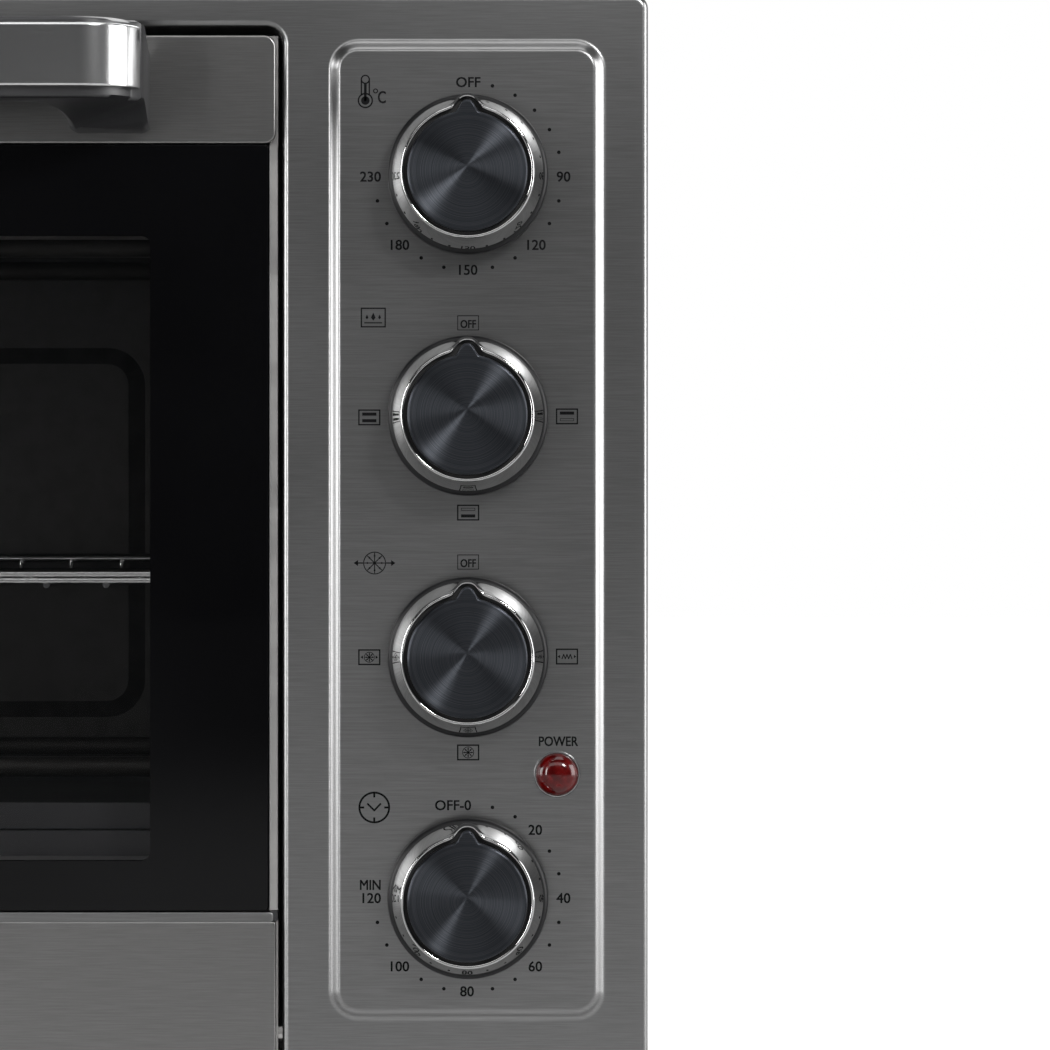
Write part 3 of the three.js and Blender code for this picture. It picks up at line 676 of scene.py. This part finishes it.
def rear_screws():
    """One screw in each corner of the rear panel, two more along its top and one along its bottom."""
    margin, top_spacing = 14, 190
    low, high = node_box("rear_panel")
    left, right, bottom, top = low.x + margin, high.x - margin, low.z + margin, high.z - margin
    spots = [(x, z) for x in (left, right) for z in (bottom, top)]
    spots += [(low.x + top_spacing, top), (high.x - top_spacing, top), (0, bottom)]
    for i, (x, z) in enumerate(spots):
        screw(f"rear_screw_{i + 1}", (x, high.y, z), "y")


def side_screws():
    """Two black screws low on each side, a little sunk, so that they stay within the oven's width."""
    radius, sunk, height = 2.9, 0.75, 12
    from_front, from_back = 24, 14
    low, high = node_box("outer_cover")
    for side, x, out in (("left", low.x + sunk, "-x"), ("right", high.x - sunk, "x")):
        for i, y in enumerate((low.y + from_front, high.y - from_back)):
            place = (x, y, low.z + height)
            screw(f"{side}_screw_{i + 1}", place, out, radius, POWDER_COAT, "black_paint")


def rear_spacers():
    for side in ("left", "right"):
        node = f"rear_spacer_{side}"
        low, high = node_box(node)
        stop = make(node + "_moulded", *block(low, high), BLACK_PLASTIC, "casing", "black_plastic")
        soften(stop, 2.2, 4)
        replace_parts(stop, node)


def sheet_edges():
    """Rounds the edges of the CAD sheet metal that stays in view."""
    for node in ("outer_cover", "rear_panel", "base_pan", "door_frame", "cavity_front_frame", "crumb_tray"):
        soften(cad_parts[node], 0.25)


# ---- door ----
def door_strips():
    """The steel strips above and below the glass, the lower one with a folded hem."""
    left, right = TOP_STRIP[0].x, TOP_STRIP[1].x
    depth = 3.0
    back = PANEL_FACE + depth
    sheet = (left, right, TOP_STRIP[0].z, TOP_STRIP[1].z)
    top = pressed(sheet, corner=3.4, front=PANEL_FACE, back=back, roll=0.7)
    strip = make("door_top_strip_pressed", *top, STRIP_STEEL, "door", "brushed_steel")
    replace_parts(crisp(strip, 60), "door_top_strip")
    hem, crease, side_step = 3.0, 0.5, 0.6
    low, high = BOTTOM_STRIP[0].z, BOTTOM_STRIP[1].z
    sheet = (left, right, low, high - hem)
    bottom = pressed(sheet, corner=0.6, front=PANEL_FACE, back=back, roll=0.5)
    strip = make("door_bottom_strip_pressed", *bottom, STRIP_STEEL, "door", "brushed_steel")
    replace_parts(crisp(strip, 60), "door_bottom_strip")
    sheet = (left, right - side_step, high - hem - crease, high)
    fold = pressed(sheet, corner=1.4, front=PANEL_FACE + crease, back=back, roll=0.5)
    crisp(make("door_bottom_hem", *fold, FRONT_STEEL, "door", "brushed_steel"), 60)


def corner_buffers():
    """A small black stop at each lower corner of the glass."""
    width, below, above, front, back = 2.2, 3.2, 0.2, 0.8, 5
    z = GLASS[0].z
    for side, x in (("left", DOOR[0].x), ("right", DOOR[1].x - width)):
        stop = block((x, PANEL_FACE + front, z - below), (x + width, PANEL_FACE + back, z + above))
        soften(make(f"corner_buffer_{side}", *stop, BLACK_PLASTIC, "door", "black_plastic"), 0.3)


def door_glass():
    """A pane with ground edges, black all over but for the clear window on its front and back."""
    chamfer, corner, window_corner = 0.35, 1.2, 3.0
    outer = (GLASS[0].x, GLASS[1].x, GLASS[0].z, GLASS[1].z)
    front, back = GLASS[0].y, GLASS[1].y
    walls = [
        inset_loop(outer, chamfer, corner, front), inset_loop(outer, 0, corner, front + chamfer),
        inset_loop(outer, 0, corner, back - chamfer), inset_loop(outer, chamfer, corner, back),
    ]
    parts = [skin(walls)]
    for y, loop in ((front, walls[0]), (back, walls[-1])):
        window = inset_loop(WINDOW, 0, window_corner, y)
        parts.append(fill_between(loop, window))
        parts.append((window, [tuple(range(len(window)))]))
    pane = make("door_glass_pane", *combine(*parts), PRINTED_GLASS, "door", "tinted_glass")
    pane.data.materials.append(CLEAR_GLASS)
    # The two windows are the only flat faces with many corners.
    for polygon in pane.data.polygons:
        if abs(polygon.normal.y) > 0.9 and len(polygon.vertices) > 4:
            polygon.material_index = 1
    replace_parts(crisp(pane, 30), "door_glass")


# The handle's legs reach just into the door, and its trim ends a little way along them.
HANDLE_FOOT = PANEL_FACE - 0.2
TRIM_END = HANDLE[1].y + 0.3


def handle_path(inset, radius):
    """Points and outward directions along the handle seen from above, left end to right end."""
    leg_steps, arc_steps = 8, 20
    left, right, front = HANDLE_CORE[0].x + inset, HANDLE_CORE[1].x - inset, HANDLE[0].y + inset
    path = []
    for i in range(leg_steps):
        t = i / leg_steps
        path.append(((left, HANDLE_FOOT + (front + radius - HANDLE_FOOT) * t), (-1, 0)))
    for c, s in arc(180, 270, arc_steps):
        path.append(((left + radius + radius * c, front + radius + radius * s), (c, s)))
    for c, s in arc(270, 360, arc_steps):
        path.append(((right - radius + radius * c, front + radius + radius * s), (c, s)))
    for i in range(leg_steps):
        t = (i + 1) / leg_steps
        path.append(((right, front + radius + (HANDLE_FOOT - front - radius) * t), (1, 0)))
    return path


def handle_trim(outer):
    """The silver band round the outside of the handle, with rounded edges."""
    thick, edge = 2.6, 0.8
    low, high = HANDLE[0].z, HANDLE[1].z
    section = [(thick, low)] + [(edge - edge * s, low + edge - edge * c) for c, s in arc(0, 90, 3)]
    section += [(edge - edge * c, high - edge + edge * s) for c, s in arc(0, 90, 3)] + [(thick, high)]
    loops = []
    for (x, y), (nx, ny) in outer:
        if y < TRIM_END:
            loops.append([(x - nx * d, y - ny * d, z) for d, z in section])
    trim = make("handle_trim_silver", *skin(loops, True, True), SILVER, "door", "silver_trim")
    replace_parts(crisp(trim, 50), "handle_trim")


def between(a, b, t):
    return a + (b - a) * t


def handle_core(outer):
    """The black bar behind the trim. Its legs grow deeper and sag towards the door."""
    leg, fillet, bar_depth = 24.0, 18.0, 17.0
    sag_low, sag_high = 7.4, 6.5
    under_trim, beside_trim = 2.5, 0.1
    edge, share = 1.2, 0.09
    low, high = HANDLE_CORE[0].z, HANDLE_CORE[1].z
    bar = HANDLE[0].y + bar_depth
    loops = []
    inner = handle_path(leg, fillet)
    for i, ((outer_x, outer_y), (nx, ny)) in enumerate(outer):
        (inner_x, inner_y), _ = inner[i]
        inner_y = HANDLE_FOOT if i in (0, len(outer) - 1) else min(inner_y + bar_depth - leg, HANDLE_FOOT)
        sunk = under_trim if outer_y < TRIM_END else beside_trim
        ends = []
        for x, y in ((outer_x - nx * sunk, outer_y - ny * sunk), (inner_x, inner_y)):
            t = min(max((y - bar) / (HANDLE_FOOT - bar), 0), 1)
            sag = t * t * (3 - 2 * t)
            ends.append((x, y, low - sag_low * sag, high - sag_high * sag))
        # The section runs from its outer end (a) to its inner end (b), with its four corners cut.
        (ax, ay, a_low, a_high), (bx, by, b_low, b_high) = ends
        by_a = (between(ax, bx, share), between(ay, by, share))
        by_b = (between(bx, ax, share), between(by, ay, share))
        loops.append([
            (ax, ay, a_low + edge), (*by_a, a_low), (*by_b, b_low), (bx, by, b_low + edge),
            (bx, by, b_high - edge), (*by_b, b_high), (*by_a, a_high), (ax, ay, a_high - edge),
        ])
    core = make("handle_core", *skin(loops, True, True), BLACK_PLASTIC, "door", "black_plastic")
    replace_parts(crisp(core, 62), "handle_body")


# ---- controls ----
def pointer(reach, spread):
    """How far the pointer pushes a rim out, as a function of the angle from twelve o'clock."""
    flatness = 2.8

    def push(angle):
        turned = (angle + math.pi) % (2 * math.pi) - math.pi
        return reach * math.exp(-abs(turned / spread) ** flatness)
    return push


CAP_POINTER = pointer(3.4, 0.13)
RING_POINTER = pointer(3.5, 0.175)
SKIRT_SIDES = 96
KNOB_SIDES = 288
LAMP_SIDES = 64

# Profiles are (radius, height above the panel, share of the pointer's push) from the base up.
SKIRT_PROFILE = [
    (4, 0.4), (23.4, 0.4), (24.0, 0.9), (24.2, 1.8), (24.2, 6.2), (23.9, 7.2), (23.2, 7.8), (22.0, 8.0),
    (19, 8.0), (18.2, 8.2), (18.2, 17.2), (4, 17.2),
]
GROOVE_PROFILE = [(17.2, 15.5, 1), (20.6, 15.5, 0.8), (20.6, 16.6, 0.8), (17.2, 16.6, 1)]
RING_PROFILE = [
    (18.9, 9.0, 0.0), (22.5, 8.4, 0.0), (22.75, 8.8, 0.0), (22.7, 9.6, 0.02), (21.7, 13.2, 0.12),
    (20.2, 17.8, 0.6), (19.95, 18.5, 0.75), (19.7, 18.7, 0.85), (19.2, 18.68, 0.9), (19.05, 18.5, 0.9),
    (19.0, 16.8, 0.9), (18.9, 12.0, 0.2),
]
CAP_PROFILE = [
    (0, 17.3), (17.6, 17.3, 1), (17.9, 17.5, 1), (18.0, 18.9, 1), (17.9, 19.5, 1), (17.55, 19.85, 0.98),
    (17.1, 19.9, 0.95), (15.5, 19.8, 0.6), (9, 19.62, 0.0), (0.2, 19.5, 0.0),
]
LENS_PROFILE = [
    (6.35, -12), (6.35, 1.0), (6.2, 1.9), (5.6, 2.9),
    (4.5, 3.8), (3.0, 4.35), (1.5, 4.55), (0.2, 4.6),
]
BEZEL_PROFILE = [(6.45, 0.1), (7.0, 0.15), (7.05, 0.5), (6.8, 1.0), (6.5, 1.0), (6.42, 0.6)]


def knob(name, centre):
    """A black skirt, a groove, a chrome ring and a spun cap, all turning on the knob's body."""
    body = f"{name}_knob"
    base = Vector((centre.x, PLATEAU_FACE, centre.z))
    skirt_mesh = spun(SKIRT_PROFILE, base, sides=SKIRT_SIDES)
    skirt = make(f"knob_skirt_{name}", *skirt_mesh, KNOB_BLACK, body, "black_plastic", origin=base)
    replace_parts(crisp(skirt, 40), f"knob_body_{name}")
    well_mesh = spun(GROOVE_PROFILE, base, sides=KNOB_SIDES, bump=RING_POINTER)
    well = make(f"knob_groove_{name}", *well_mesh, GROOVE_BLACK_AND_PAINTED_SHADE, body, "black_plastic", origin=base)
    crisp(well, 40)
    turned = spun(RING_PROFILE, base, sides=KNOB_SIDES, bump=RING_POINTER)
    ring_mesh = open_ring(*turned, KNOB_SIDES)
    ring = make(f"knob_ring_{name}_chrome", *ring_mesh, CHROME, body, "chrome", origin=base)
    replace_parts(crisp(ring, 50), f"knob_ring_{name}")
    cap_mesh = spun(CAP_PROFILE, base, sides=KNOB_SIDES, bump=CAP_POINTER)
    cap = make(f"knob_cap_{name}_spun", *cap_mesh, SPUN, body, "spun_metal", origin=base)
    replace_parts(crisp(cap, 45), f"knob_cap_{name}")


def power_lamp():
    """A red dome in a thin chrome bezel."""
    centre = node_centre("power_lamp")
    base = Vector((centre.x, PLATEAU_FACE, centre.z))
    lens_mesh = spun(LENS_PROFILE, base, sides=LAMP_SIDES)
    lens = make("power_lamp_lens", *lens_mesh, LENS, "casing", "red_lens", origin=base)
    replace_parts(crisp(lens, 60), "power_lamp")
    bezel_mesh = open_ring(*spun(BEZEL_PROFILE, base, sides=LAMP_SIDES), LAMP_SIDES)
    bezel = make("power_lamp_bezel", *bezel_mesh, CHROME, "casing", "chrome")
    crisp(bezel, 40)


# ---- inside the cavity ----
def wire_rack():
    """Two thin front rods, two side rods that rise at the back, and a row of wires front to back."""
    side_rod, rear_rod, middle_rod, front_rod, wire = 1.7, 1.8, 1.5, 0.95, 1.1
    low, high = RACK
    x0, x1, y0, y1 = low.x + 1, high.x - 1, low.y + 1, high.y - 1.8
    upper, lower = low.z + 4.5, low.z + 2.4
    rear_z = high.z - 1.9
    parts = [tube([(x0, y0, z), (x1, y0, z)], front_rod) for z in (upper, lower)]
    for x in (x0 + 1, x1 - 1):
        side = [(x, y0, low.z + 3.5), (x, y1 - 14, low.z + 3.5), (x, y1 - 4, low.z + 4.5)]
        parts.append(tube([*side, (x, y1, rear_z - 0.4)], side_rod))
    parts.append(tube([(x0, y1, rear_z), (x1, y1, rear_z)], rear_rod))
    middle = (y0 + y1) / 2
    parts.append(tube([(x0 + 1, middle, low.z + 3.6), (x1 - 1, middle, low.z + 3.6)], middle_rod))
    count, pitch, off_centre, bend = 21, 18.5, 5.4, 16
    first = (low.x + high.x) / 2 - (count - 1) / 2 * pitch + off_centre
    for i in range(count):
        x = first + i * pitch
        z = low.z + 1.15
        rise = rear_z - z - 1.4
        rear = [(x, y1 - bend + bend * s, z + rise * (1 - c)) for c, s in arc(0, 90, 6)]
        parts.append(tube([(x, y0 - 0.4, z), *rear], wire, 10))
    rack = make("wire_rack_welded", *combine(*parts), WIRE, "rack", "chrome")
    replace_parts(crisp(rack, 60), "wire_rack")


def heaters():
    """Four straight sheathed rods with a ceramic collar at each end."""
    radius, end_gap, spans = 3.3, 2, 8
    for node in ("heater_top_front", "heater_top_rear", "heater_bottom_front", "heater_bottom_rear"):
        low, high = node_box(node)
        c = (low + high) / 2
        length = high.x - low.x - 2 * end_gap
        points = [(low.x + end_gap + length * i / spans, c.y, c.z) for i in range(spans + 1)]
        sheath = make(node + "_tube", *tube(points, radius, 20), HEATER, "casing", "heater_steel")
        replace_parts(crisp(sheath, 50), node)
        for side, x, way in (("left", low.x, 1), ("right", high.x, -1)):
            collar = [(3.5, 0), (5.2, 0.4 * way), (5.4, 5 * way), (4.6, 6.5 * way), (3.5, 7 * way)]
            collar_mesh = spun(collar, (x, c.y, c.z), "x", 24)
            crisp(make(f"{node}_insulator_{side}", *collar_mesh, CERAMIC, "casing", "heater_steel"), 50)


def cavity_screws():
    """One small screw near each corner of the cavity's back."""
    from_side, from_end, radius = 12, 14, 2.6
    low, high = node_box("cavity_back")
    across, along = (low.x + from_side, high.x - from_side), (low.z + from_end, high.z - from_end)
    for i, (x, z) in enumerate((x, z) for x in across for z in along):
        screw(f"cavity_screw_{i + 1}", (x, low.y, z), "-y", radius)


# ---- printing on the raised panel ----
INK_HEIGHT = 0.02
DIAL_RADIUS = 28.4
DIAL_DROP = 0.3
DOT_RADIUS = 0.55
TEXT_SIZE = 4.3
TEXT_DROP = 0.5
# Thin letters are thickened by printing them four times, slightly apart and one above the other.
TEXT_SHIFTS = [(-0.08, -0.06), (0.08, -0.06), (-0.08, 0.06), (0.08, 0.06)]
TEXT_LAYER = 0.002
LABEL_RADIUS = 29.2
LABEL_RADIUS_BELOW = 28.2
LABEL_SHIFT = -0.35
SIDE_X = 29.9
ICON = (6.3, 4.4)


class Print:
    """Flat ink shapes on the raised panel, placed in millimetres in the frame's x and z."""

    def __init__(self):
        self.parts = []

    def polygon(self, points):
        front, back = PLATEAU_FACE - INK_HEIGHT, PLATEAU_FACE + INK_HEIGHT
        loops = [[(x, y, z) for x, z in points] for y in (back, front)]
        self.parts.append(skin(loops, True, True))

    def bar(self, x, z, width, height, turn=0.0):
        c, s = math.cos(turn), math.sin(turn)
        corners = [(a * width / 2, b * height / 2) for a, b in ((-1, -1), (1, -1), (1, 1), (-1, 1))]
        self.polygon([(x + a * c - b * s, z + a * s + b * c) for a, b in corners])

    def line(self, x0, z0, x1, z1, width):
        """A bar from one point to another, a little longer, so that lines that meet leave no notch."""
        length = math.hypot(x1 - x0, z1 - z0)
        self.bar((x0 + x1) / 2, (z0 + z1) / 2, length + width * 0.6, width, math.atan2(z1 - z0, x1 - x0))

    def disc(self, x, z, radius):
        self.polygon([(x + radius * c, z + radius * s) for c, s in arc(0, 345, 23)])

    def ring(self, x, z, radius, width):
        sides = 48
        far, near = radius + width / 2, radius - width / 2
        for k in range(sides):
            a, b = (2 * math.pi * t / sides for t in (k, k + 1))
            ends = [(far, a), (far, b), (near, b), (near, a)]
            self.polygon([(x + r * math.cos(t), z + r * math.sin(t)) for r, t in ends])

    def box(self, x, z, width, height, line=0.42):
        for sign in (-1, 1):
            self.bar(x, z + sign * height / 2, width + line, line)
            self.bar(x + sign * width / 2, z, line, height - line)

    def star(self, x, z, radius, arms, width):
        """Lines through a centre, with a blob near each end."""
        blob_place, blob_size = 0.72, 0.95
        for k in range(arms):
            t = math.pi * k / arms + math.pi / 2
            dx, dz = radius * math.cos(t), radius * math.sin(t)
            self.line(x - dx, z - dz, x + dx, z + dz, width)
            for sign in (-1, 1):
                self.disc(x + sign * dx * blob_place, z + sign * dz * blob_place, width * blob_size)

    def arrow(self, x, z, way, size=0.9):
        """A triangle that points right (way 1) or left (way -1)."""
        self.polygon([(x, z - size), (x + way * size * 1.5, z), (x, z + size)][::way])

    def text(self, words, x, z, size=TEXT_SIZE, squeeze=1.0):
        curve = bpy.data.curves.new("words", "FONT")
        curve.body = words
        curve.size = size
        curve.align_x = "CENTER"
        curve.align_y = "CENTER"
        curve.resolution_u = 3
        holder = bpy.data.objects.new("words", curve)
        scene.collection.objects.link(holder)
        bpy.context.view_layer.update()
        mesh = holder.to_mesh()
        faces = [tuple(p.vertices) for p in mesh.polygons]
        for layer, (right, up) in enumerate(TEXT_SHIFTS):
            left, low = x + right, z + up - TEXT_DROP
            front = PLATEAU_FACE - INK_HEIGHT - TEXT_LAYER * layer
            vertices = [(left + v.co.x * squeeze, front, low + v.co.y) for v in mesh.vertices]
            self.parts.append((vertices, faces))
        holder.to_mesh_clear()
        bpy.data.objects.remove(holder)
        bpy.data.curves.remove(curve)


def scale_marks(ink, centre, labels):
    """Dots every 15 degrees clockwise from twelve o'clock, and numbers in place of some of them."""
    for degrees in range(15, 271, 15):
        t = math.radians(degrees)
        if degrees in labels:
            far = LABEL_RADIUS_BELOW if degrees == 180 else LABEL_RADIUS
            x = centre.x + LABEL_SHIFT + far * math.sin(t)
            ink.text(labels[degrees], x, centre.z + far * math.cos(t))
        else:
            z = centre.z + DIAL_RADIUS * math.cos(t) - DIAL_DROP
            ink.disc(centre.x + DIAL_RADIUS * math.sin(t), z, DOT_RADIUS)


def element_icon(ink, x, z, top, bottom):
    """A box with an upper and a lower heating bar, each filled or outlined."""
    ink.box(x, z, *ICON)
    for filled, dz in ((top, 1.0), (bottom, -1.0)):
        if filled:
            ink.bar(x, z + dz, 4.3, 0.95)
        else:
            ink.box(x, z + dz, 4.1, 0.7, 0.16)


def fan_icon(ink, x, z, radius=1.5):
    ink.ring(x, z, radius * 1.12, 0.2)
    ink.star(x, z, radius * 0.95, 4, 0.24)


def temperature_print(ink, centre):
    """The scale, a thermometer and the degree sign."""
    ink.text("OFF", centre.x, centre.z + 28.6)
    scale_marks(ink, centre, {90: "90", 135: "120", 180: "150", 225: "180", 270: "230"})
    x, z = centre.x - 31.1, centre.z + 22.7
    for side in (-1.2, 1.2):
        ink.line(x + side, z + 1.6, x + side, z + 6.4, 0.4)
    ink.ring(x, z + 6.4, 1.2, 0.4)
    ink.ring(x, z, 2.1, 0.45)
    ink.disc(x, z, 1.3)
    ink.line(x, z, x, z + 5.0, 0.8)
    ink.ring(x + 3.1, z + 2.9, 0.6, 0.32)
    ink.text("C", x + 5.0, z + 1.3, 5.2, 0.72)


def off_box(ink, centre, top):
    ink.box(centre.x, centre.z + top, 6.3, 4.3, 0.24)
    ink.text("OFF", centre.x, centre.z + top, 3.4, 0.8)


def heating_print(ink, centre):
    """A box with three flames over a bar, and the three choices of heating element."""
    x, z = centre.x - 28.7, centre.z + 29.8
    ink.box(x, z, 7.2, 5.6, 0.4)
    ink.bar(x, z - 1.6, 5.4, 0.35)
    for dx, size in ((-1.9, 0.62), (0, 1.0), (1.9, 0.62)):
        wide, below, above = size * 0.7, size * 0.9, size * 1.5
        flame = [(x + dx - wide, z), (x + dx, z - below), (x + dx + wide, z), (x + dx, z + above)]
        ink.polygon(flame)
    element_icon(ink, centre.x + SIDE_X, centre.z - 0.1, True, False)
    element_icon(ink, centre.x, centre.z - 29.2, False, True)
    element_icon(ink, centre.x - SIDE_X, centre.z - 0.4, True, True)


def convection_print(ink, centre):
    """A fan between two arrows, and the boxes for the spit, the fan, and the fan with arrows."""
    x, z = centre.x - 28.3, centre.z + 28.3
    ink.ring(x, z, 3.3, 0.3)
    ink.star(x, z, 3.0, 4, 0.3)
    for way in (-1, 1):
        ink.line(x + way * 3.6, z, x + way * 5.4, z, 0.4)
        ink.arrow(x + way * 5.0, z, way)
    x, z = centre.x + SIDE_X, centre.z
    ink.box(x, z, *ICON)
    wave = [(x - 1.5 + 3.0 * i / 6, z + (0.65 if i % 2 else -0.65)) for i in range(7)]
    for (ax, az), (bx, bz) in zip(wave, wave[1:]):
        ink.line(ax, az, bx, bz, 0.3)
    for way in (-1, 1):
        ink.arrow(x + way * 2.1, z, way, 0.5)
    x, z = centre.x, centre.z - 29.0
    ink.box(x, z, *ICON)
    fan_icon(ink, x, z)
    x, z = centre.x - SIDE_X, centre.z - 0.2
    ink.box(x, z, *ICON)
    fan_icon(ink, x, z, 1.35)
    for way in (-1, 1):
        ink.arrow(x + way * 1.9, z, way, 0.5)


def timer_print(ink, centre):
    """A clock face and the scale in minutes."""
    x, z = centre.x - 28.4, centre.z + 27.1
    ink.ring(x, z, 4.5, 0.6)
    for degrees in (0, 90, 180, 270):
        c, s = math.cos(math.radians(degrees)), math.sin(math.radians(degrees))
        ink.line(x + 3.2 * c, z + 3.2 * s, x + 4.4 * c, z + 4.4 * s, 0.6)
    ink.line(x, z - 0.9, x + 1.9, z + 1.1, 0.55)
    ink.line(x, z - 0.9, x - 2.0, z + 1.1, 0.55)
    ink.text("OFF-0", centre.x - 4.6, centre.z + 28.1)
    scale_marks(ink, centre, {45: "20", 90: "40", 135: "60", 180: "80", 225: "100", 270: "120"})
    ink.text("MIN", centre.x - 29.6, centre.z + 4.0, squeeze=0.86)


def dial_print():
    ink = Print()
    temperature, heating, convection, timer = KNOB_CENTRES
    temperature_print(ink, temperature)
    off_box(ink, heating, 28.2)
    off_box(ink, convection, 28.6)
    heating_print(ink, heating)
    convection_print(ink, convection)
    lamp = node_centre("power_lamp")
    ink.text("POWER", lamp.x + 0.3, lamp.z + 10.3, 4.1, 0.84)
    timer_print(ink, timer)
    make("dial_print", *combine(*ink.parts), INK, "casing", "black_paint", smooth=False)


# ---- build ----
scene.view_settings.view_transform = "Standard"
add_camera()
add_floor()
add_world()
add_lamps()
front_panel()
feet()
rear_screws()
side_screws()
rear_spacers()
sheet_edges()
door_strips()
corner_buffers()
door_glass()
outer_path = handle_path(0, HANDLE_BEND)
handle_trim(outer_path)
handle_core(outer_path)
for knob_name, knob_centre in zip(KNOBS, KNOB_CENTRES):
    knob(knob_name, knob_centre)
power_lamp()
wire_rack()
heaters()
cavity_screws()
dial_print()
